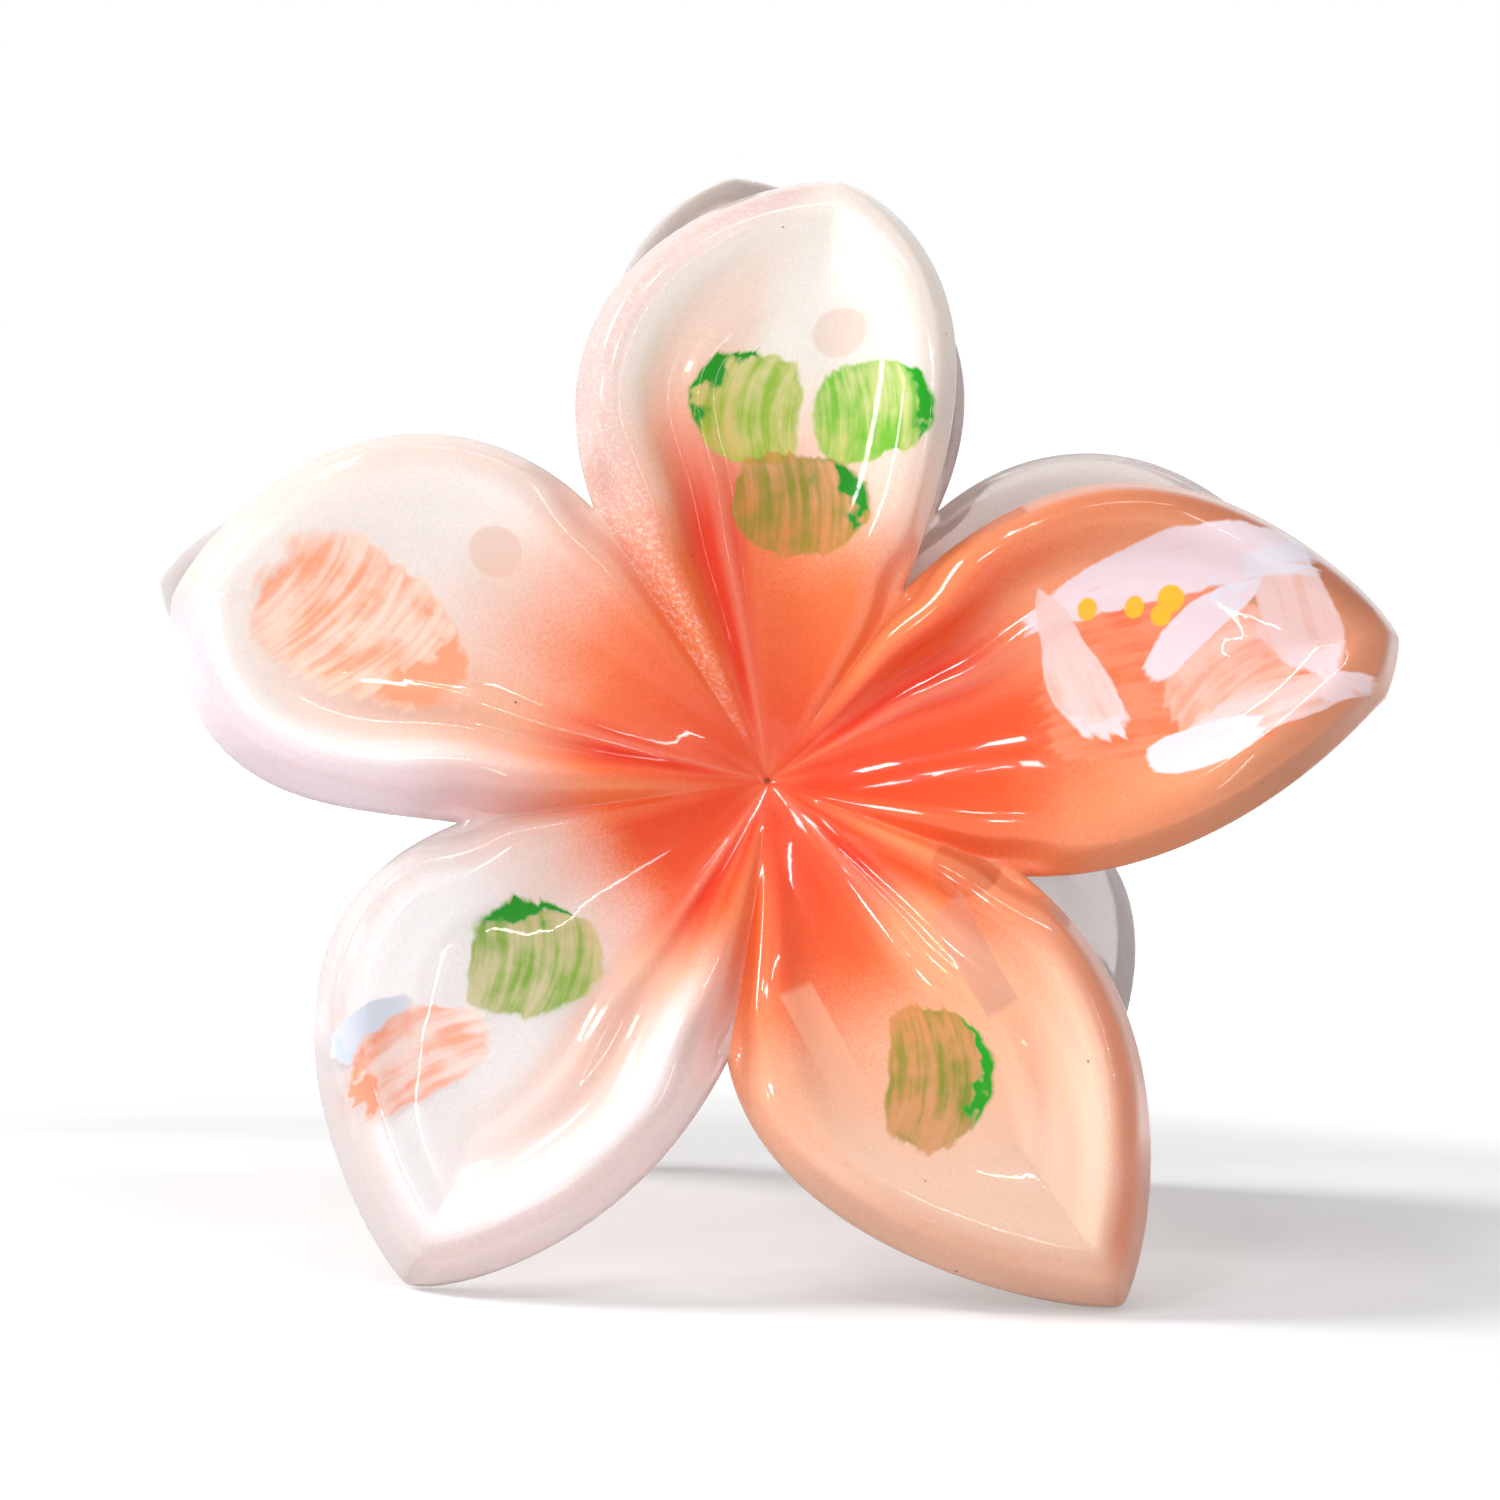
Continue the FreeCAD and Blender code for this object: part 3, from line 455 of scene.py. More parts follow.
# petal 0 top, 1 left, 2 lower left, 3 lower right, 4 right; then brushInputs, in mm from the hub and radians;
# then the colours of the ground between the bristles, of the bristle lines and of the thick paint
leaf = ("#C6C25A", "#8CB01C", "#129208")
dabs = [
    (0, (21.8, 1.1, 3.4, 3.6, 0.12, 0.07, 0.0, 0.48, 2.6, 1.1, 1.3), leaf),
    (0, (21.8, -7.2, 3.2, 3.8, -0.1, -0.06, 0.0, 0.46, 2.6, -1.4, 2.6), ("#B8C84C", "#68B414", "#14A008")),
    (0, (16.2, -2.5, 2.9, 4.5, 0.0, -0.05, 0.0, 0.5, 2.5, -1.1, 3.1), ("#C8843C", "#86841A", "#12880C")),
    (1, (25.0, 2.0, 4.4, 7.3, -1.2, 0.05, 0.0, 0.5, 2.2, 1.8, 5.2), ("#F9D4BE", "#F5A37E", "#F4A27C")),
    (2, (18.9, -2.5, 4.0, 3.9, -0.6, 0.05, 0.0, 0.48, 2.3, 3.1, 6.7), ("#BCAC54", "#78A01C", "#16900C")),
    (2, (28.7, -7.5, 2.9, 1.5, 0.44, 0.03, 0.0, 0.3, 2.4, 0.0, 7.9), ("#DEDDE6", "#D2D7E4", "#CBD3E4")),
    (2, (28.3, -4.5, 5.0, 2.7, 0.53, -0.02, 0.0, 0.52, 2.2, 0.0, 8.8), ("#F8D6C9", "#F4A88A", "#F3A080")),
    (3, (24.7, -0.3, 4.8, 3.4, 0.56, 0.05, 0.0, 0.48, 2.4, 1.8, 9.4), ("#C27E38", "#7A8418", "#1A9812")),
]
coral = ("#F58E6C", "#F4744A", "#F26A42")
blush = ("#F5AE96", "#F6C2B2", "#F5C6BC")
veil = ("#EDC0B4", "#F0CCC8", "#EFD2D4")
chalk = ("#E8CCCE", "#EDDAE1", "#E8E0EA")
blossom = [
    (4, (27.4, -0.8, 8.4, 5.4, 0.2, 0.02, 0.0, 0.5, 2.4, 0.0, 10.3), coral),
    (4, (31.4, -1.2, 4.9, 3.0, -0.42, 0.04, 0.0, 0.5, 2.4, 0.0, 17.4), blush),
    (4, (33.4, -4.6, 6.0, 1.5, -0.2, 0.0, -0.3, 0.45, 2.4, 0.0, 18.2), veil),
    (4, (35.8, 1.6, 4.9, 2.0, 1.44, 0.0, 0.2, 0.3, 2.4, 0.0, 16.1), veil),
    (4, (28.2, 5.6, 9.6, 1.9, 0.0, 0.010, 0.3, 0.15, 2.2, 0.0, 11.7), chalk),
    (4, (21.3, 1.2, 5.3, 1.8, 1.29, -0.02, 0.4, 0.25, 2.2, 0.0, 14.2), veil),
    (4, (29.9, 1.6, 4.3, 1.3, -0.5, 0.02, -0.1, 0.15, 2.2, 0.0, 13.6), chalk),
    (4, (28.6, -6.3, 3.7, 1.5, -0.05, -0.03, 0.0, 0.2, 2.4, 0.0, 15.5), chalk),
]
# painted shade and light of the pieces behind the wall, seen through it: petal, place and half sizes in mm,
# colour
rootLightAndShade = [
    (0, (26.8, -4.4), (1.75, 1.75), "#E9C9B4"),
    (1, (19.3, -5.1), (1.6, 1.6), "#F2BFA4"),
    (3, (13.1, 7.9), (2.6, 2.6), "#A04A28"),
    (3, (18.9, 5.4), (4.4, 1.2), "#B58C7C"),
    (3, (19.2, -5.4), (4.9, 1.2), "#F8BC9C"),
]
# along, across and radius, in the blossom's petal
stamens = [(23.1, 4.5, 0.7), (26.2, 3.75, 0.68), (28.6, 3.6, 0.9), (27.8, 2.8, 0.7)]
stamenYellow = "#F2BC30"

spray = {
    "reach": [24.0, 20.5, 18.5, 30.0, 35.0],        # hub to where the orange has thinned out, per petal
    "tips": ["#FFF6EE", "#FFF6F2", "#FFFBFC", "#FBD6BE", "#E0946E"],
    "rims": ["#E4C2BC", "#F8E6F0", "#F6DEDC", "#E28C66", "#CC7852"],
    "tucked": ["#F6DED2", "#F0C2AC", "#DCC0B8", "#EE9A74", "#E29068"],
    "clear": [0.24, 0.32, 0.42, 0.32, 0.15],        # how much light goes straight through at the tips
    "heart": "#DE3409",
    "middles": ["#E86C38", "#EC6C3C", "#E64E1E", "#E85A28", "#E44E1C"],
    "outer": "#F7A070",
    "groove": "#E23608",
    "grooveReach": [25.0, 16.0, 16.0, 15.0, 22.0],
    "further": "#F9AC80",                           # of the groove, past its deep part
    "fold": "#F9B596",
    "band": "#EC8656",                              # of the rims, close to the hub
    "drifts": (9.0, 0.3),                           # size, and how far they shift the spray
    "droplets": (0.2, 0.14),                        # the same; real ones are finer than the render
    "paintedGlints": (0.18, 0.35),                         # painted glints on the top petal's rim: size, and how white the whitest is
    "hub": ("#EC7446", 3.2, 0.4),                   # colour, radius and strength
    "gate": ("#7A2A14", 0.3, 0.8),
    "dust": ("#7A3322", 2.6, 0.7),                  # colour, spacing and strength
}
# the rear flower has less orange and paler, whiter colours than the front: painted light that lifts the shade
# it stands in
rearPaintedLighter = {
    "reach": [19.0, 16.0, 16.0, 18.0, 20.0],
    "tips": ["#F6EFEA", "#F9F2F0", "#FAF6F6", "#F6E6DC", "#FFFBF9"],
    "rims": ["#EFE4E4", "#F6F0F4", "#F7F0F0", "#F2E2DA", "#FFFAFA"],
    "tucked": ["#EFE4E4", "#F0E4E0", "#EFE8E8", "#F2E6E0", "#FFFAF8"],
    "clear": [0.4, 0.4, 0.4, 0.4, 0.12],
}
lacqueredAcrylic = {
    "Roughness": 0.2,
    "IOR": 1.49,
    "Subsurface Weight": 0.25,
    "Subsurface Radius": (1.0, 0.7, 0.5),
    "Subsurface Scale": 2.2 * mm,
    "Specular IOR Level": 0.1,
    "Coat Weight": 0.7,
    "Coat Roughness": 0.03,
    "Coat IOR": 1.4,
}


def freshMaterial(name, constants):
    material = bpy.data.materials.new(name)
    material.use_nodes = True
    tree = material.node_tree
    shader = tree.nodes["Principled BSDF"]
    for socket, value in constants.items():
        shader.inputs[socket].default_value = value
    return material, tree, shader


def perPetal(tree, order, values, most=1.0):
    # picks one colour for each petal, or one value up to the most
    ramp = add(tree, "ShaderNodeValToRGB", {0: order})
    ramp.color_ramp.interpolation = "CONSTANT"
    while len(ramp.color_ramp.elements) < len(values):
        ramp.color_ramp.elements.new(0.5)
    for place, value in enumerate(values):
        picked = colour(value) if isinstance(value, str) else (value / most,) * 3 + (1,)
        ramp.color_ramp.elements[place].position = place / len(values)
        ramp.color_ramp.elements[place].color = picked
    if most == 1.0:
        return ramp
    return add(tree, "ShaderNodeMath", {0: ramp, 1: most}, operation="MULTIPLY")


def petalPlaces(tree, grain):
    # what the paint goes by: a point in mm on its petal, steps in from the rim, and a mask for each petal
    plane = add(tree, "ShaderNodeUVMap", uv_map="petalPlane")
    point = add(tree, "ShaderNodeVectorMath", {0: plane, 1: (10.0, 10.0, 10.0)}, operation="MULTIPLY")
    across = add(tree, "ShaderNodeSeparateXYZ", {0: point}).outputs[1]
    petal = add(tree, "ShaderNodeAttribute", attribute_name="petal").outputs["Fac"]
    middle = add(tree, "ShaderNodeMath", {0: petal, 1: 0.5}, operation="ADD")
    where = add(tree, "ShaderNodeTexCoord").outputs["Object"]
    return {
        "point": point,
        "away": add(tree, "ShaderNodeVectorMath", {0: point}, operation="LENGTH").outputs["Value"],
        "raised": add(tree, "ShaderNodeMapRange", {0: across, 1: -1.0, 2: 2.0},
                      interpolation_type="SMOOTHSTEP"),
        "steps": add(tree, "ShaderNodeAttribute", attribute_name="steps").outputs["Fac"],
        "order": add(tree, "ShaderNodeMath", {0: middle, 1: petalCount}, operation="DIVIDE"),
        "only": [add(tree, "ShaderNodeMath", {0: petal, 1: float(number), 2: 0.4}, operation="COMPARE")
                 for number in range(petalCount)],
        "where": where,
        "droplets": add(tree, "ShaderNodeTexNoise", {"Vector": where, "Scale": 1 / (grain * mm),
                                                     "Detail": 3.0, "Roughness": 0.7}),
    }


def sprayedGround(tree, at, coat):
    # distance from the hub over the petal's reach, broken up by drifts and droplets
    drift = add(tree, "ShaderNodeTexNoise", {"Vector": at["where"], "Scale": 1 / (coat["drifts"][0] * mm),
                                             "Detail": 2.0})
    drifting = add(tree, "ShaderNodeMath", {0: drift, 1: 0.5}, operation="SUBTRACT")
    dropping = add(tree, "ShaderNodeMath", {0: at["droplets"], 1: 0.5}, operation="SUBTRACT")
    reached = perPetal(tree, at["order"], coat["reach"], 50.0)
    thin = add(tree, "ShaderNodeMath", {0: at["away"], 1: reached}, operation="DIVIDE")
    thin = add(tree, "ShaderNodeMath", {0: drifting, 1: coat["drifts"][1], 2: thin},
               operation="MULTIPLY_ADD")
    thin = add(tree, "ShaderNodeMath", {0: dropping, 1: coat["droplets"][1], 2: thin},
               operation="MULTIPLY_ADD")
    middle = perPetal(tree, at["order"], coat["middles"])
    tip = perPetal(tree, at["order"], coat["tips"])
    toMiddle = add(tree, "ShaderNodeMapRange", {0: thin, 1: 0.0, 2: 0.45})
    toOuter = add(tree, "ShaderNodeMapRange", {0: thin, 1: 0.45, 2: 0.85})
    bare = add(tree, "ShaderNodeMapRange", {0: thin, 1: 0.5, 2: 1.12}, interpolation_type="SMOOTHSTEP")
    ground = add(tree, "ShaderNodeMix", {0: toMiddle, 6: colour(coat["heart"]), 7: middle},
                 data_type="RGBA").outputs[2]
    ground = add(tree, "ShaderNodeMix", {0: toOuter, 6: ground, 7: colour(coat["outer"])},
                 data_type="RGBA").outputs[2]
    ground = add(tree, "ShaderNodeMix", {0: bare, 6: ground, 7: tip}, data_type="RGBA").outputs[2]
    return ground, bare


def rimsAndGrooves(tree, at, coat, ground):
    # pale band on the rolled rim, deep colour in the groove beside it, a fine pale line on the fold
    away, steps, raised = at["away"], at["steps"], at["raised"]
    grooveEnd = perPetal(tree, at["order"], coat["grooveReach"], 50.0)
    fading = add(tree, "ShaderNodeMath", {0: grooveEnd, 1: 0.55}, operation="MULTIPLY")
    near = add(tree, "ShaderNodeMapRange", {0: away, 1: grooveEnd, 2: fading},
               interpolation_type="SMOOTHSTEP")
    quarter = add(tree, "ShaderNodeMath", {0: steps, 1: 0.25}, operation="MULTIPLY", use_clamp=True)
    groove = add(tree, "ShaderNodeFloatCurve", {"Value": quarter})
    shape(groove, [(0, 0), (0.3, 0), (0.42, 0.7), (0.52, 1), (0.66, 1), (0.78, 0.85), (0.9, 0.3), (1, 0)])
    deep = add(tree, "ShaderNodeMath", {0: groove, 1: raised}, operation="MULTIPLY")
    further = add(tree, "ShaderNodeMapRange", {0: away, 1: 36.0, 2: 20.0, 3: 0.0, 4: 0.6})
    further = add(tree, "ShaderNodeMath", {0: deep, 1: further}, operation="MULTIPLY")
    ground = add(tree, "ShaderNodeMix", {0: further, 6: ground, 7: colour(coat["further"])},
                 data_type="RGBA").outputs[2]
    deep = add(tree, "ShaderNodeMath", {0: deep, 1: near}, operation="MULTIPLY")
    ground = add(tree, "ShaderNodeMix", {0: deep, 6: ground, 7: colour(coat["groove"])},
                 data_type="RGBA").outputs[2]

    onRim = add(tree, "ShaderNodeMapRange", {0: steps, 1: 1.3, 2: 0.6}, interpolation_type="SMOOTHSTEP")
    rimmed = add(tree, "ShaderNodeMapRange", {0: raised, 1: 0.0, 2: 1.0, 3: 0.35, 4: 0.85})
    onRim = add(tree, "ShaderNodeMath", {0: onRim, 1: rimmed}, operation="MULTIPLY")
    rimTip = add(tree, "ShaderNodeMix", {0: raised, 6: perPetal(tree, at["order"], coat["tucked"]),
                                         7: perPetal(tree, at["order"], coat["rims"])},
                 data_type="RGBA").outputs[2]
    rimOut = add(tree, "ShaderNodeMapRange", {0: away, 1: 9.0, 2: 24.0}, interpolation_type="SMOOTHSTEP")
    rimColour = add(tree, "ShaderNodeMix", {0: rimOut, 6: colour(coat["band"]), 7: rimTip},
                    data_type="RGBA").outputs[2]
    heartFade = add(tree, "ShaderNodeMapRange", {0: away, 1: 1.0, 2: 9.0})
    onRim = add(tree, "ShaderNodeMath", {0: onRim, 1: heartFade}, operation="MULTIPLY")
    ground = add(tree, "ShaderNodeMix", {0: onRim, 6: ground, 7: rimColour}, data_type="RGBA").outputs[2]

    fold = add(tree, "ShaderNodeMath", {0: steps, 1: 2.72}, operation="SUBTRACT")
    fold = add(tree, "ShaderNodeMath", {0: fold}, operation="ABSOLUTE")
    fold = add(tree, "ShaderNodeMapRange", {0: fold, 1: 0.4, 2: 0.0, 3: 0.0, 4: 0.3},
               interpolation_type="SMOOTHSTEP")
    fold = add(tree, "ShaderNodeMath", {0: fold, 1: raised}, operation="MULTIPLY")
    fold = add(tree, "ShaderNodeMath", {0: fold, 1: near}, operation="MULTIPLY")
    ground = add(tree, "ShaderNodeMix", {0: fold, 6: ground, 7: colour(coat["fold"])},
                 data_type="RGBA").outputs[2]
    return ground, onRim


def glintsAndHub(tree, at, coat, ground, onRim):
    # painted glints: white flecks on the top petal's raised rim stand in for the sparkle of its pearly
    # lacquer
    size, whitest = coat["paintedGlints"]
    glintCell = add(tree, "ShaderNodeTexVoronoi", {"Vector": at["where"], "Scale": 1 / (size * mm)})
    glint = add(tree, "ShaderNodeSeparateXYZ", {0: glintCell.outputs["Color"]})
    glint = add(tree, "ShaderNodeMapRange", {0: glint, 1: 0.5, 2: 1.0, 3: 0.0, 4: whitest})
    for mask in (at["only"][0], onRim, at["raised"]):
        glint = add(tree, "ShaderNodeMath", {0: glint, 1: mask}, operation="MULTIPLY")
    ground = add(tree, "ShaderNodeMix", {0: glint, 6: ground, 7: colour("#FFFFFF")},
                 data_type="RGBA").outputs[2]

    # paler at the hub, where the gate of the mould left a mark
    tone, radius, strength = coat["hub"]
    hub = add(tree, "ShaderNodeMapRange", {0: at["away"], 1: radius, 2: 0.3, 3: 0.0, 4: strength},
              interpolation_type="SMOOTHSTEP")
    ground = add(tree, "ShaderNodeMix", {0: hub, 6: ground, 7: colour(tone)}, data_type="RGBA").outputs[2]
    tone, radius, strength = coat["gate"]
    gate = add(tree, "ShaderNodeMapRange", {0: at["away"], 1: radius, 2: 0.4 * radius, 3: 0.0, 4: strength})
    ground = add(tree, "ShaderNodeMix", {0: gate, 6: ground, 7: colour(tone)}, data_type="RGBA").outputs[2]

    # droplets darken and lighten the ground a little
    speckled = add(tree, "ShaderNodeMapRange", {0: at["droplets"], 1: 0.3, 2: 0.7, 3: 0.94, 4: 1.06})
    return add(tree, "ShaderNodeVectorMath", {0: ground, "Scale": speckled}, operation="SCALE")


def handPainting(tree, at, ground):
    painted = 0.0
    brush = brushTree()
    for petal, stroke, (between, line, thick) in dabs + blossom:
        dab = add(tree, "ShaderNodeGroup", node_tree=brush)
        tree.links.new(at["point"].outputs[0], dab.inputs[0])
        for name, value in zip(brushInputs, stroke):
            dab.inputs[name].default_value = value
        cover, lines, heavy = dab.outputs
        tone = add(tree, "ShaderNodeMix", {0: lines, 6: colour(between), 7: colour(line)},
                   data_type="RGBA").outputs[2]
        tone = add(tree, "ShaderNodeMix", {0: heavy, 6: tone, 7: colour(thick)}, data_type="RGBA").outputs[2]
        filled = add(tree, "ShaderNodeMapRange", {0: lines, 3: 0.72, 4: 0.96})
        filled = add(tree, "ShaderNodeMath", {0: filled, 1: heavy}, operation="MAXIMUM")
        mask = add(tree, "ShaderNodeMath", {0: cover, 1: at["only"][petal]}, operation="MULTIPLY")
        mask = add(tree, "ShaderNodeMath", {0: mask, 1: filled}, operation="MULTIPLY")
        ground = add(tree, "ShaderNodeMix", {0: mask, 6: ground, 7: tone}, data_type="RGBA").outputs[2]
        painted = add(tree, "ShaderNodeMath", {0: painted, 1: mask}, operation="MAXIMUM")
    for along, sideways, size in stamens:
        gap = add(tree, "ShaderNodeVectorMath", {0: at["point"], 1: (along, sideways, 0.0)},
                  operation="DISTANCE")
        dot = add(tree, "ShaderNodeMapRange", {0: gap.outputs["Value"], 1: size + 0.05, 2: size - 0.1})
        mask = add(tree, "ShaderNodeMath", {0: dot, 1: at["only"][4]}, operation="MULTIPLY")
        ground = add(tree, "ShaderNodeMix", {0: mask, 6: ground, 7: colour(stamenYellow)},
                     data_type="RGBA").outputs[2]
        painted = add(tree, "ShaderNodeMath", {0: painted, 1: mask}, operation="MAXIMUM")
    return ground, painted


def paintRootLightAndShade(tree, at, ground):
    # painted shade and light of the pegs and ribs behind the wall, as seen through it: darker where they
    # block the light, one rib paler where it catches light, and a dark disc on the lower right petal with
    # nothing behind it
    for petal, (along, sideways), (halfAlong, halfAcross), tone in rootLightAndShade:
        local = add(tree, "ShaderNodeVectorMath", {0: at["point"], 1: (along, sideways, 0.0)},
                    operation="SUBTRACT")
        local = add(tree, "ShaderNodeVectorMath", {0: local, 1: (1 / halfAlong, 1 / halfAcross, 0.0)},
                    operation="MULTIPLY")
        if halfAlong == halfAcross:
            gap = add(tree, "ShaderNodeVectorMath", {0: local}, operation="LENGTH").outputs["Value"]
        else:
            gap = add(tree, "ShaderNodeVectorMath", {0: local}, operation="ABSOLUTE")
            gap = add(tree, "ShaderNodeSeparateXYZ", {0: gap}).outputs
            gap = add(tree, "ShaderNodeMath", {0: gap[0], 1: gap[1]}, operation="MAXIMUM")
        mask = add(tree, "ShaderNodeMapRange", {0: gap, 1: 1.0, 2: 0.9, 3: 0.0, 4: 0.45})
        mask = add(tree, "ShaderNodeMath", {0: mask, 1: at["only"][petal]}, operation="MULTIPLY")
        ground = add(tree, "ShaderNodeMix", {0: mask, 6: ground, 7: colour(tone)},
                     data_type="RGBA").outputs[2]
    return ground


def dusted(tree, at, coat, ground):
    # a few specks of dust under the lacquer
    tone, spacing, strength = coat["dust"]
    dust = add(tree, "ShaderNodeTexVoronoi", {"Vector": at["where"], "Scale": 1 / (spacing * mm)})
    rare = add(tree, "ShaderNodeSeparateXYZ", {0: dust.outputs["Color"]})
    rare = add(tree, "ShaderNodeMath", {0: rare, 1: 0.62}, operation="GREATER_THAN")
    speck = add(tree, "ShaderNodeMapRange", {0: dust.outputs["Distance"], 1: 0.045, 2: 0.03, 3: 0.0,
                                             4: strength})
    speck = add(tree, "ShaderNodeMath", {0: speck, 1: rare}, operation="MULTIPLY")
    return add(tree, "ShaderNodeMix", {0: speck, 6: ground, 7: colour(tone)}, data_type="RGBA").outputs[2]


def flowerMaterial(name, coat):
    # clear acrylic, injection moulded, sprayed from the middle, hand painted and lacquered: light goes
    # deep into the pale parts, the orange parts glow, and everything has a hard wet gloss
    material, tree, shader = freshMaterial(name, lacqueredAcrylic)
    at = petalPlaces(tree, coat["droplets"][0])
    ground, bare = sprayedGround(tree, at, coat)
    ground, onRim = rimsAndGrooves(tree, at, coat, ground)
    ground = glintsAndHub(tree, at, coat, ground, onRim)
    ground, painted = handPainting(tree, at, ground)
    ground = paintRootLightAndShade(tree, at, ground)
    ground = dusted(tree, at, coat, ground)
    tree.links.new(ground, shader.inputs["Base Color"])

    # clear where the spray has thinned out, and more so in the rims, but not under paint
    kept = add(tree, "ShaderNodeMath", {0: 1.0, 1: painted}, operation="SUBTRACT", use_clamp=True)
    clear = add(tree, "ShaderNodeMapRange", {0: onRim, 3: 1.0, 4: 1.4})
    for share in (bare, perPetal(tree, at["order"], coat["clear"]), kept):
        clear = add(tree, "ShaderNodeMath", {0: clear, 1: share}, operation="MULTIPLY")
    tree.links.new(clear.outputs[0], shader.inputs["Transmission Weight"])

    # flow marks of the moulding, so that highlights break up at their edges
    flow = add(tree, "ShaderNodeTexNoise", {"Vector": at["where"], "Scale": 1 / (1.6 * mm), "Detail": 2.0})
    bump = add(tree, "ShaderNodeBump", {"Strength": 0.22, "Distance": 0.05 * mm, "Height": flow})
    tree.links.new(bump.outputs[0], shader.inputs["Normal"])
    tree.links.new(bump.outputs[0], shader.inputs["Coat Normal"])
    return material


def addFlower(name, body, node, turned, material):
    sizes = {key: value * mm for key, value in relief.items()}
    sizes["Material"] = material
    piece = throughNodes(name, sheet, petalRelief, sizes)
    piece.data.transform(standing(turned))
    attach(piece, body)
    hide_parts(node)
    print(name, "made,", sum(len(face.vertices) - 2 for face in piece.data.polygons), "triangles")
    return piece


petalRelief = reliefTree()
sheet = makeSheet()
frontPetals = addFlower("frontPetals", "front_jaw", "front_flower_jaw", False,
                        flowerMaterial("sprayedMouldedAcrylic", spray))
# the rear flower takes a paler copy of the paint, painted light against its shade
addFlower("rearPetals", "rear_jaw", "rear_flower_jaw", True,
          flowerMaterial("sprayedMouldedAcrylicPaintedLighter", {**spray, **rearPaintedLighter}))


# ears, grip pegs and ribs, moulded with each flower

ears = {
    "radius": 3.4,
    "root": 5.6,                      # half height at the flower
    "thickness": 2.4,
    "springBay": 4.3,                 # from the middle to the inner ears
    "gap": 0.3,
    "bore": 1.0,                      # pressed on the pin in front, running on it behind
    "clearance": 0.05,
    "round": 0.35,
    "boreRound": 0.15,
    "points": 72,
    "rootPasses": 6,                  # in which the root closes on the flower's back
}
pegs = {
    "places": [(3.8, 28.3), (-17.5, 12.5)],         # across and up from the hub
    "rootRadius": 1.9,
    "endRadius": 1.2,
    "length": 9.0,
    "fillet": 0.7,
    "filletStretch": 1.4,             # its height over its width
    "points": 40,
}
ribs = {
    "petal": 3,
    "middle": 18.0,
    "spread": 5.5,
    "width": 2.4,
    "height": 1.6,
    "length": 10.0,
    "corner": 0.7,
    "cornerSteps": 6,
    "round": 0.4,
}
sunk = 0.8                            # how far all of them reach into the wall


def acrylicFittings():
    # the same clear acrylic, where the spray does not reach: a little milky, with fine flow marks
    material, tree, shader = freshMaterial("clearMouldedAcrylic", {
        "Transmission Weight": 0.55, "IOR": 1.49, "Subsurface Weight": 0.5,
        "Subsurface Radius": (1.0, 0.7, 0.55), "Subsurface Scale": 2.0 * mm})
    where = add(tree, "ShaderNodeTexCoord").outputs["Object"]
    cloud = add(tree, "ShaderNodeTexNoise", {"Vector": where, "Scale": 1 / (4 * mm), "Detail": 3.0})
    tint = add(tree, "ShaderNodeMix", {0: cloud, 6: colour("#F3D9CB"), 7: colour("#FBF3EE")},
               data_type="RGBA")
    tree.links.new(tint.outputs[2], shader.inputs["Base Color"])
    milky = add(tree, "ShaderNodeMapRange", {0: cloud, 1: 0.3, 2: 0.7, 3: 0.12, 4: 0.2})
    tree.links.new(milky.outputs[0], shader.inputs["Roughness"])
    bump = add(tree, "ShaderNodeBump", {"Strength": 0.15, "Distance": 0.05 * mm, "Height": cloud})
    tree.links.new(bump.outputs[0], shader.inputs["Normal"])
    return material


def loft(name, loops, material, ring=False):
    # a closed skin over successive loops of points; a ring joins its last loop to its first
    mesh = bpy.data.meshes.new(name)
    wide = len(loops[0])
    points = [point for points in loops for point in points]
    faces = []
    for row in range(len(loops) if ring else len(loops) - 1):
        start, after = row * wide, (row + 1) % len(loops) * wide
        for place in range(wide):
            following = (place + 1) % wide
            faces.append((start + place, start + following, after + following, after + place))
    if not ring:
        for row in (0, len(loops) - 1):
            middle = sum((Vector(point) for point in loops[row]), Vector()) / wide
            points.append(middle)
            for place in range(wide):
                faces.append((row * wide + (place + 1) % wide, row * wide + place, len(points) - 1))
    mesh.from_pydata([tuple(value * mm for value in point) for point in points], [], faces)
    build = bmesh.new()
    build.from_mesh(mesh)
    bmesh.ops.recalc_face_normals(build, faces=build.faces)
    build.to_mesh(mesh)
    build.free()
    mesh.polygons.foreach_set("use_smooth", [True] * len(mesh.polygons))
    mesh.materials.append(material)
    made = bpy.data.objects.new(name, mesh)
    bpy.context.scene.collection.objects.link(made)
    return made


def backFinder():
    # depth of the upright flower's back behind a point of its face, in mm, felt from well behind
    outside = 60.0
    upright = frontPetals.data.copy()
    upright.transform(standing(False).inverted())
    surface = BVHTree.FromPolygons([vertex.co for vertex in upright.vertices],
                                   [face.vertices[:] for face in upright.polygons])
    bpy.data.meshes.remove(upright)

    def depth(x, rise):
        return surface.ray_cast(Vector((x, outside, rise)) * mm, Vector((0, -1, 0)))[0].y / mm

    return depth


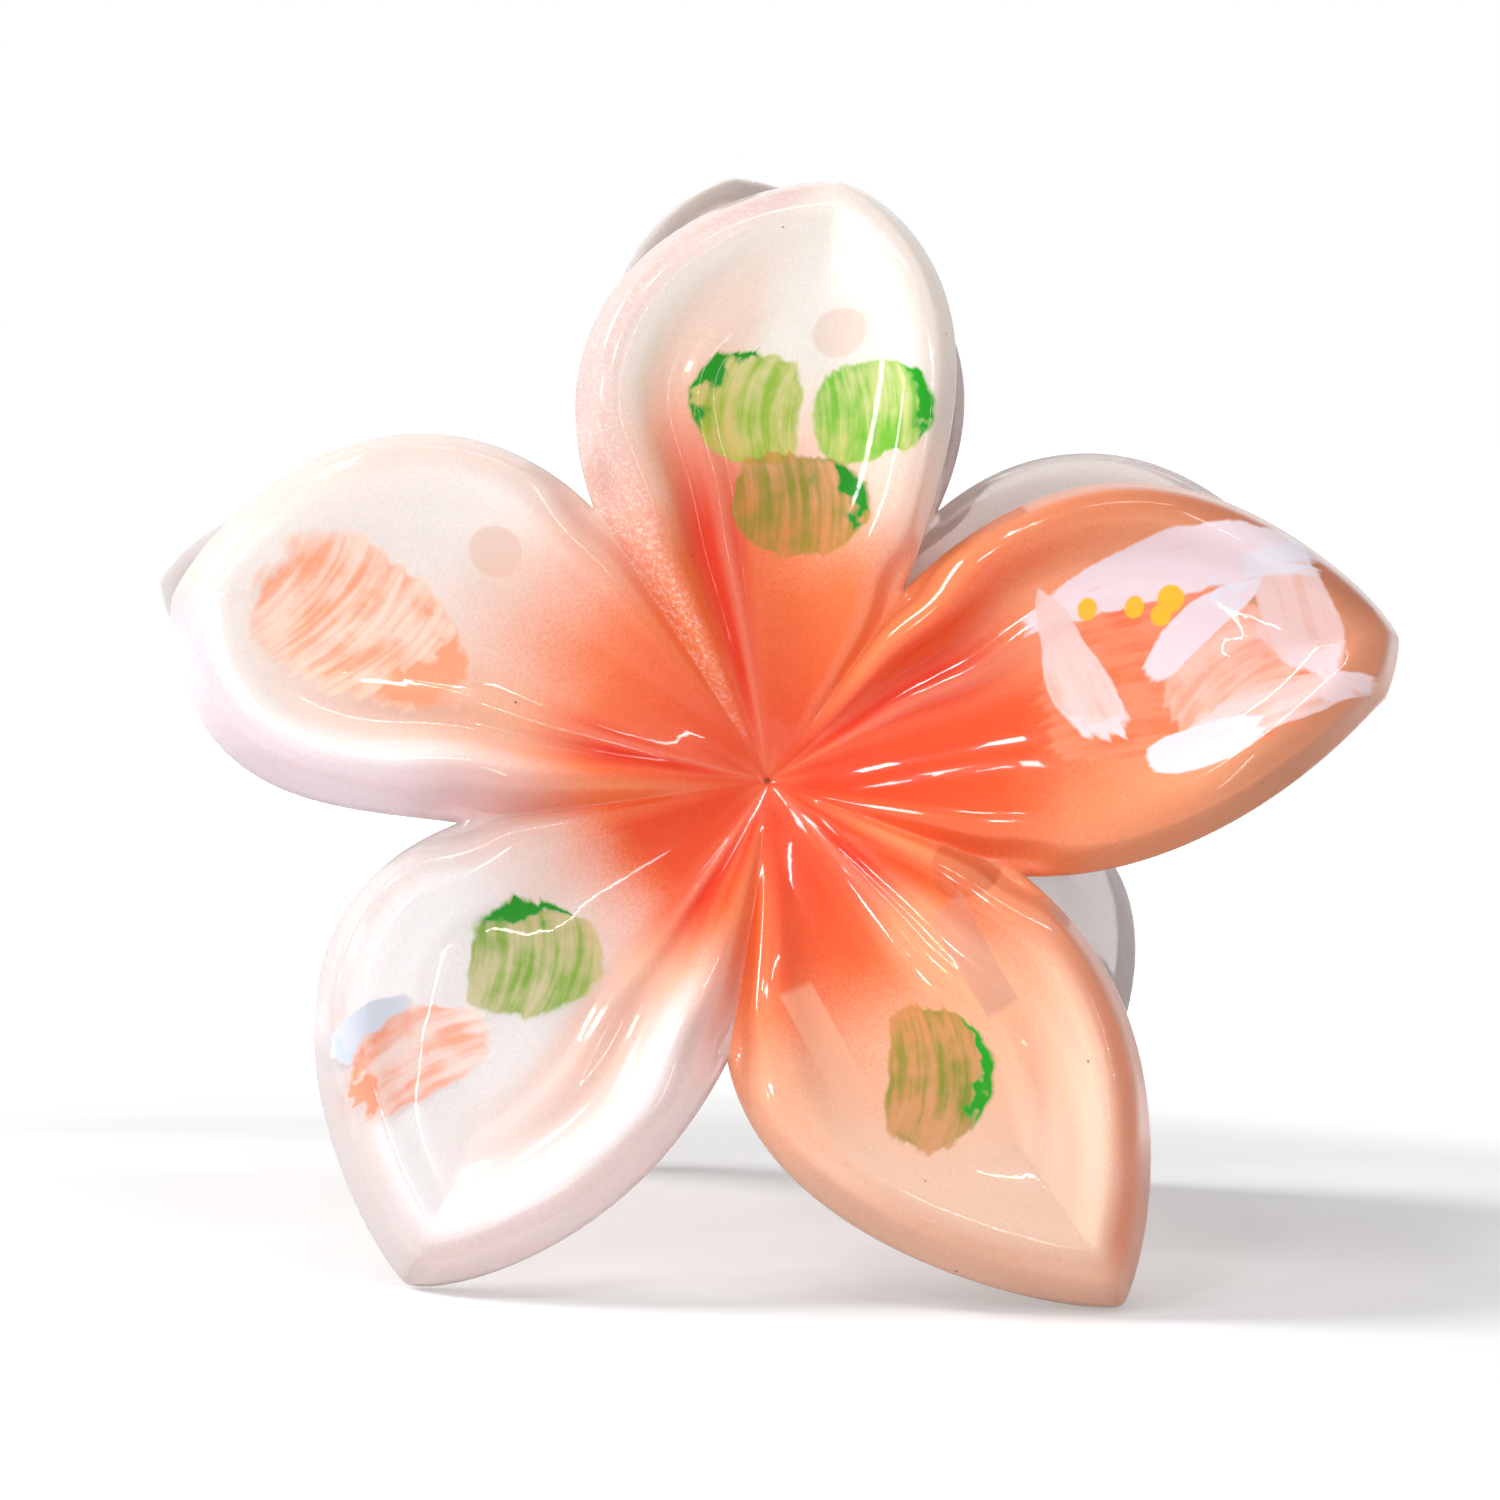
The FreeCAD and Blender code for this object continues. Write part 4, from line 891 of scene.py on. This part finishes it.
def earLoops(inward, bore, side, depth):
    # the pin lies at the middle of the ear; the root follows the flower's back
    pin = standing(False).inverted() @ hinge / mm
    slope = (ears["root"] - ears["radius"]) / (flower["setback"] + relief["Bowl rise"])
    outline = []
    for place in range(ears["points"]):
        turn = math.tau * place / ears["points"]
        across, up = math.cos(turn), math.sin(turn)
        reach = ears["radius"]
        if across < 0:
            reach = min(ears["radius"] / max(abs(up) - slope * -across, 0.01), flower["setback"])
            for _ in range(ears["rootPasses"]):
                rise = pin.z + up * reach
                root = (pin.y - depth(side, rise) + sunk) / -across
                reach = min(reach, root)
        outline.append((across, up, reach))
    soft, bevel = ears["round"], ears["boreRound"]
    near, far = inward, inward + ears["thickness"]
    profile = [(0, bevel, near), (0, 0.0, near + bevel), (0, 0.0, far - bevel), (0, bevel, far),
               (1, soft, far), (1, 0.3 * soft, far - 0.3 * soft), (1, 0.0, far - soft),
               (1, 0.0, near + soft), (1, 0.3 * soft, near + 0.3 * soft), (1, soft, near)]
    loops = []
    for outer, inset, x in profile:
        loop = []
        for across, up, reach in outline:
            radius = reach - inset if outer else bore + inset
            loop.append((x, pin.y + across * radius, pin.z + up * radius))
        loops.append(loop)
    return loops


def pegLoops(x, rise, depth):
    back = depth(x, rise)
    start = back - sunk
    steps = [(0.0, pegs["rootRadius"] + pegs["fillet"])]
    for share in (0.0, 0.3, 0.6, 0.85, 1.0):
        flare = pegs["fillet"] * (1.0 - math.sin(share * math.pi / 2.0))
        climb = share * pegs["fillet"] * pegs["filletStretch"]
        steps.append((sunk + climb, pegs["rootRadius"] + flare))
    end = sunk + pegs["length"]
    for turn in range(0, 90, 9):
        angle = math.radians(turn)
        steps.append((end + pegs["endRadius"] * math.sin(angle), pegs["endRadius"] * math.cos(angle)))
    loops = []
    for out, radius in steps:
        circle = [math.tau * place / pegs["points"] for place in range(pegs["points"])]
        loops.append([(x + radius * math.cos(turn), start + out, rise + radius * math.sin(turn))
                      for turn in circle])
    return loops


def ribLoops(side, depth):
    axis = math.radians(petalAxes[ribs["petal"]])
    outward = Vector((math.cos(axis), 0.0, math.sin(axis)))
    sideways = Vector((0.0, 1.0, 0.0)).cross(outward)
    middle = outward * ribs["middle"] + sideways * (side * ribs["spread"])
    top = depth(middle.x, middle.z) + ribs["height"]
    corner, steps = ribs["corner"], ribs["cornerSteps"]
    outline = []
    for quarter, (along, across) in enumerate(((1, 1), (-1, 1), (-1, -1), (1, -1))):
        for step in range(steps + 1):
            turn = math.radians(90.0 * quarter + 90.0 / steps * step)
            outline.append((along * (ribs["length"] / 2.0 - corner) + corner * math.cos(turn),
                            across * (ribs["width"] / 2.0 - corner) + corner * math.sin(turn)))
    loops = []
    soft = ribs["round"]
    for inset, level in ((0.0, None), (0.0, soft), (0.3 * soft, 0.3 * soft), (soft, 0.0)):
        loop = []
        for along, across in outline:
            shrink = 1.0 - inset / ribs["width"]
            point = middle + outward * (along - math.copysign(inset, along)) + sideways * across * shrink
            point.y = depth(point.x, point.z) - sunk if level is None else top - level
            loop.append(point)
        loops.append(loop)
    return loops


def addFittings(label, body, node, turned, earInward, bore, depth):
    made = []
    for hand, inward in (("Right", earInward), ("Left", -earInward - ears["thickness"])):
        middle = inward + ears["thickness"] / 2.0
        loops = earLoops(inward, bore, middle, depth)
        made.append(loft(label + "Ear" + hand, loops, fittingAcrylic, ring=True))
    for word, (x, rise) in zip(("Top", "Side"), pegs["places"]):
        made.append(loft(label + "Peg" + word, pegLoops(x, rise, depth), fittingAcrylic))
    for word, side in (("Inner", 1), ("Outer", -1)):
        made.append(loft(label + "Rib" + word, ribLoops(side, depth), fittingAcrylic))
    for piece in made:
        piece.data.transform(standing(turned))
        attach(piece, body)
        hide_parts(node)
    print(label, "fittings made,", len(made), "pieces")


fittingAcrylic = acrylicFittings()
flowerBack = backFinder()
outerEar = ears["springBay"] + ears["thickness"] + ears["gap"]
addFittings("front", "front_jaw", "front_flower_jaw", False, outerEar, ears["bore"], flowerBack)
addFittings("rear", "rear_jaw", "rear_flower_jaw", True, ears["springBay"],
            ears["bore"] + ears["clearance"], flowerBack)


# pin and spring

steel = {
    "pinRadius": 1.0,
    "pinEnd": 9.9,                    # half the pin's length
    "pinRound": 0.3,
    "pinPoints": 40,
    "coilRadius": 3.4,
    "wireRadius": 0.55,
    "wirePoints": 20,
    "pitch": 1.25,
    "sweep": 1535.0,                  # of the coil, in degrees
    "leg": 18.5,
    "coilSteps": 220,
    "legSteps": 12,
}


def drawnSteel(name, plane, look):
    # drawn and polished steel: fine lines in the drawing direction, a little duller between them
    material, tree, shader = freshMaterial(name, {"Metallic": 1.0})
    stretch = add(tree, "ShaderNodeVectorMath", {0: plane(tree), 1: look["stretch"]}, operation="MULTIPLY")
    streaks = add(tree, "ShaderNodeTexNoise", {"Vector": stretch, "Scale": 1.0, "Detail": 4.0})
    tone = add(tree, "ShaderNodeMix", {0: streaks, 6: colour(look["dark"]), 7: colour(look["light"])},
               data_type="RGBA")
    tree.links.new(tone.outputs[2], shader.inputs["Base Color"])
    dull = add(tree, "ShaderNodeMapRange", {0: streaks, 1: 0.3, 2: 0.7, 3: 0.18, 4: 0.34})
    tree.links.new(dull.outputs[0], shader.inputs["Roughness"])
    bump = add(tree, "ShaderNodeBump", {"Strength": 0.2, "Distance": 0.01 * mm, "Height": streaks})
    tree.links.new(bump.outputs[0], shader.inputs["Normal"])
    return material


def pinPlane(tree):
    return add(tree, "ShaderNodeTexCoord").outputs["Object"]


def wirePlane(tree):
    # how far along the wire, and how far round it
    along = add(tree, "ShaderNodeAttribute", attribute_name="along").outputs["Fac"]
    around = add(tree, "ShaderNodeAttribute", attribute_name="around").outputs["Fac"]
    return add(tree, "ShaderNodeCombineXYZ", {0: along, 1: around})


def springPath():
    # rear leg, coil and front leg, round the pin's axis; both legs run on along the tangent
    radius, rise = steel["coilRadius"], steel["pitch"] / 360.0
    height = rise * steel["sweep"]
    slope = steel["pitch"] / (math.tau * radius)
    starts = 180.0 - (steel["sweep"] % 360.0) / 2.0 - 90.0
    leaves = starts + steel["sweep"]

    def place(angle):
        turn = math.radians(angle)
        along = rise * (angle - starts) - height / 2.0
        return Vector((along, radius * math.cos(turn), radius * math.sin(turn)))

    def heading(angle):
        turn = math.radians(angle)
        return Vector((slope, -math.sin(turn), math.cos(turn)))

    points = []
    for step in range(steel["legSteps"]):
        points.append(place(starts) - heading(starts) * steel["leg"] * (1.0 - step / steel["legSteps"]))
    for step in range(steel["coilSteps"] + 1):
        points.append(place(starts + steel["sweep"] * step / steel["coilSteps"]))
    for step in range(1, steel["legSteps"] + 1):
        points.append(place(leaves) + heading(leaves) * steel["leg"] * step / steel["legSteps"])
    return [point * mm + hinge for point in points]


def wireTree(material):
    tree = bpy.data.node_groups.new("wireAlongPath", "GeometryNodeTree")
    tree.interface.new_socket("Path", in_out="INPUT", socket_type="NodeSocketGeometry")
    tree.interface.new_socket("Wire radius", in_out="INPUT", socket_type="NodeSocketFloat")
    tree.interface.new_socket("Wire", in_out="OUTPUT", socket_type="NodeSocketGeometry")
    given = add(tree, "NodeGroupInput").outputs
    curve = add(tree, "GeometryNodeMeshToCurve", {"Mesh": given["Path"]})
    along = add(tree, "GeometryNodeSplineParameter").outputs["Length"]
    marked = add(tree, "GeometryNodeStoreNamedAttribute",
                 {"Geometry": curve, "Name": "along", "Value": along}, data_type="FLOAT")
    circle = add(tree, "GeometryNodeCurvePrimitiveCircle",
                 {"Resolution": steel["wirePoints"], "Radius": given["Wire radius"]})
    around = add(tree, "GeometryNodeSplineParameter").outputs["Length"]
    rounded = add(tree, "GeometryNodeStoreNamedAttribute",
                  {"Geometry": circle, "Name": "around", "Value": around}, data_type="FLOAT")
    swept = add(tree, "GeometryNodeCurveToMesh",
                {"Curve": marked, "Profile Curve": rounded, "Fill Caps": True})
    smooth = add(tree, "GeometryNodeSetShadeSmooth", {"Geometry": swept})
    real = add(tree, "GeometryNodeRealizeInstances", {0: smooth})
    final = add(tree, "GeometryNodeSetMaterial", {"Geometry": real, "Material": material})
    add(tree, "NodeGroupOutput", {0: final})
    return tree


def addSpring():
    points = springPath()
    path = bpy.data.meshes.new("springPath")
    path.from_pydata(points, [(place, place + 1) for place in range(len(points) - 1)], [])
    wire = drawnSteel("drawnSpringSteel", wirePlane, {"stretch": (300.0, 9000.0, 1.0), "dark": "#8E8F92",
                                                      "light": "#C6C7CA"})
    spring = throughNodes("torsionSpring", path, wireTree(wire), {"Wire radius": steel["wireRadius"] * mm})
    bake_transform(spring)
    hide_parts("torsion_spring")
    print("spring made")


def addPin():
    radius, end, soft = steel["pinRadius"], steel["pinEnd"], steel["pinRound"]
    stations = [(-end, radius - soft)]
    for degrees in (30, 60, 90):
        turn = math.radians(degrees)
        stations.append((-end + soft * (1.0 - math.cos(turn)), radius - soft * (1.0 - math.sin(turn))))
    stations += [(-x, size) for x, size in reversed(stations)]
    turns = [math.tau * place / steel["pinPoints"] for place in range(steel["pinPoints"])]
    loops = [[(x, size * math.cos(turn), hinge.z / mm + size * math.sin(turn)) for turn in turns]
             for x, size in stations]
    rod = drawnSteel("drawnPolishedSteel", pinPlane, {"stretch": (200.0, 6000.0, 6000.0), "dark": "#9C9DA0",
                                                      "light": "#D2D2D4"})
    pin = loft("hingePin", loops, rod)
    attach(pin, "front_jaw")
    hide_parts("hinge_pin")
    print("pin made")


addPin()
addSpring()


# camera, floor and lamps

view = {
    "distance": 330.0,
    "elevation": 5.0,
    "swing": 2.45,                    # camera to the left of straight ahead
    "roll": 2.35,
    "lens": 120.0,
    "sensor": 36.0,
    "nearest": 10,
    "shift": (-0.0070, 0.0103),
}


def addCamera():
    swing, elevation, roll = (math.radians(view[name]) for name in ("swing", "elevation", "roll"))
    ahead = Vector((math.sin(swing) * math.cos(elevation), math.cos(swing) * math.cos(elevation),
                    -math.sin(elevation)))
    right = Vector((math.cos(swing), -math.sin(swing), 0.0))
    up = right.cross(ahead)
    rolledRight = right * math.cos(roll) + up * math.sin(roll)
    rolledUp = up * math.cos(roll) - right * math.sin(roll)
    data = bpy.data.cameras.new("camera")
    data.lens = view["lens"]
    data.sensor_width = view["sensor"]
    data.shift_x, data.shift_y = view["shift"]
    data.clip_start = view["nearest"] * mm
    camera = bpy.data.objects.new("camera", data)
    bpy.context.scene.collection.objects.link(camera)
    turn = Matrix((rolledRight, rolledUp, -ahead)).transposed()
    place = Vector((0.0, 0.0, hinge.z)) - ahead * view["distance"] * mm
    camera.matrix_world = Matrix.Translation(place) @ turn.to_4x4()
    bpy.context.scene.camera = camera


studio = {
    "floorSize": 6000,
    "floorWhite": 0.28,               # the floor's own white in the full shadow
    "world": 0.28,
    "paper": "#D3D3D3",
    "shadowShape": (0.6, 1.0, 1.0),   # the shadow runs out to the side
    "shadowReach": (50, 105),         # from full shadow to plain white
    "lamps": [                        # name, place, aim, width, height, power
        ("window", (-1110, -60, 870), (0, 0, 30), 480, 300, 16.0),
        ("fill", (-150, -800, 180), (0, 0, 30), 340, 260, 1.7),
        ("front", (-190, -380, 300), (0, 0, 35), 48, 34, 0.28),
        ("paneLeft", (-172, -204, 396), (12, -14, 32), 34, 30, 0.11),
        ("paneRight", (-128, -238, 396), (12, -14, 32), 34, 30, 0.11),
        ("side", (-303, -298, 209), (6, -10, 55), 34, 45, 0.17),
        ("overhead", (60, -200, 420), (0, 0, 30), 190, 9, 0.24),
        ("strip", (200, -420, 240), (0, 0, 30), 6, 210, 0.16),
    ],
}


def backdropRays(tree):
    # what the camera sees directly, in gloss and through the plastic
    path = add(tree, "ShaderNodeLightPath").outputs
    seen = add(tree, "ShaderNodeMath", {0: path["Is Camera Ray"], 1: path["Is Glossy Ray"]},
               operation="MAXIMUM")
    return add(tree, "ShaderNodeMath", {0: seen, 1: path["Is Transmission Ray"]}, operation="MAXIMUM")


def whiteStage():
    # pale paper that keeps the shadow; its glow brings it to plain white away from the clip
    bpy.ops.mesh.primitive_plane_add(size=studio["floorSize"] * mm)
    floor = bpy.context.object
    floor.name = "floor"
    material = bpy.data.materials.new("matteWhitePaper")
    material.use_nodes = True
    tree = material.node_tree
    tree.nodes.clear()
    where = add(tree, "ShaderNodeTexCoord").outputs["Object"]
    where = add(tree, "ShaderNodeVectorMath", {0: where, 1: studio["shadowShape"]}, operation="MULTIPLY")
    away = add(tree, "ShaderNodeVectorMath", {0: where}, operation="LENGTH").outputs["Value"]
    near, far = studio["shadowReach"]
    white = add(tree, "ShaderNodeMapRange", {0: away, 1: near * mm, 2: far * mm, 3: studio["floorWhite"],
                                             4: 1.0}, interpolation_type="SMOOTHSTEP")
    glow = add(tree, "ShaderNodeMath", {0: backdropRays(tree), 1: white}, operation="MULTIPLY")
    paper = add(tree, "ShaderNodeBsdfDiffuse", {"Color": colour(studio["paper"])})
    lit = add(tree, "ShaderNodeEmission", {"Strength": glow})
    both = add(tree, "ShaderNodeAddShader", {0: paper, 1: lit})
    add(tree, "ShaderNodeOutputMaterial", {0: both})
    floor.data.materials.append(material)
    world = bpy.data.worlds.new("studio")
    bpy.context.scene.world = world
    world.use_nodes = True
    tree = world.node_tree
    strength = add(tree, "ShaderNodeMix", {0: backdropRays(tree), 2: studio["world"], 3: 1.0})
    background = tree.nodes["Background"]
    background.inputs["Color"].default_value = colour("#FFFFFF")
    tree.links.new(strength.outputs[0], background.inputs["Strength"])


def addLamps():
    for name, place, aim, width, height, power in studio["lamps"]:
        data = bpy.data.lights.new(name, "AREA")
        data.shape = "RECTANGLE"
        data.size, data.size_y = width * mm, height * mm
        data.energy = power
        lamp = bpy.data.objects.new(name, data)
        bpy.context.scene.collection.objects.link(lamp)
        lamp.location = Vector(place) * mm
        lamp.visible_glossy = name != "fill"
        lamp.rotation_euler = (Vector(aim) * mm - lamp.location).to_track_quat("-Z", "Y").to_euler()


addCamera()
whiteStage()
addLamps()
bpy.context.scene.view_settings.view_transform = "Standard"
print("camera, floor and lamps set")
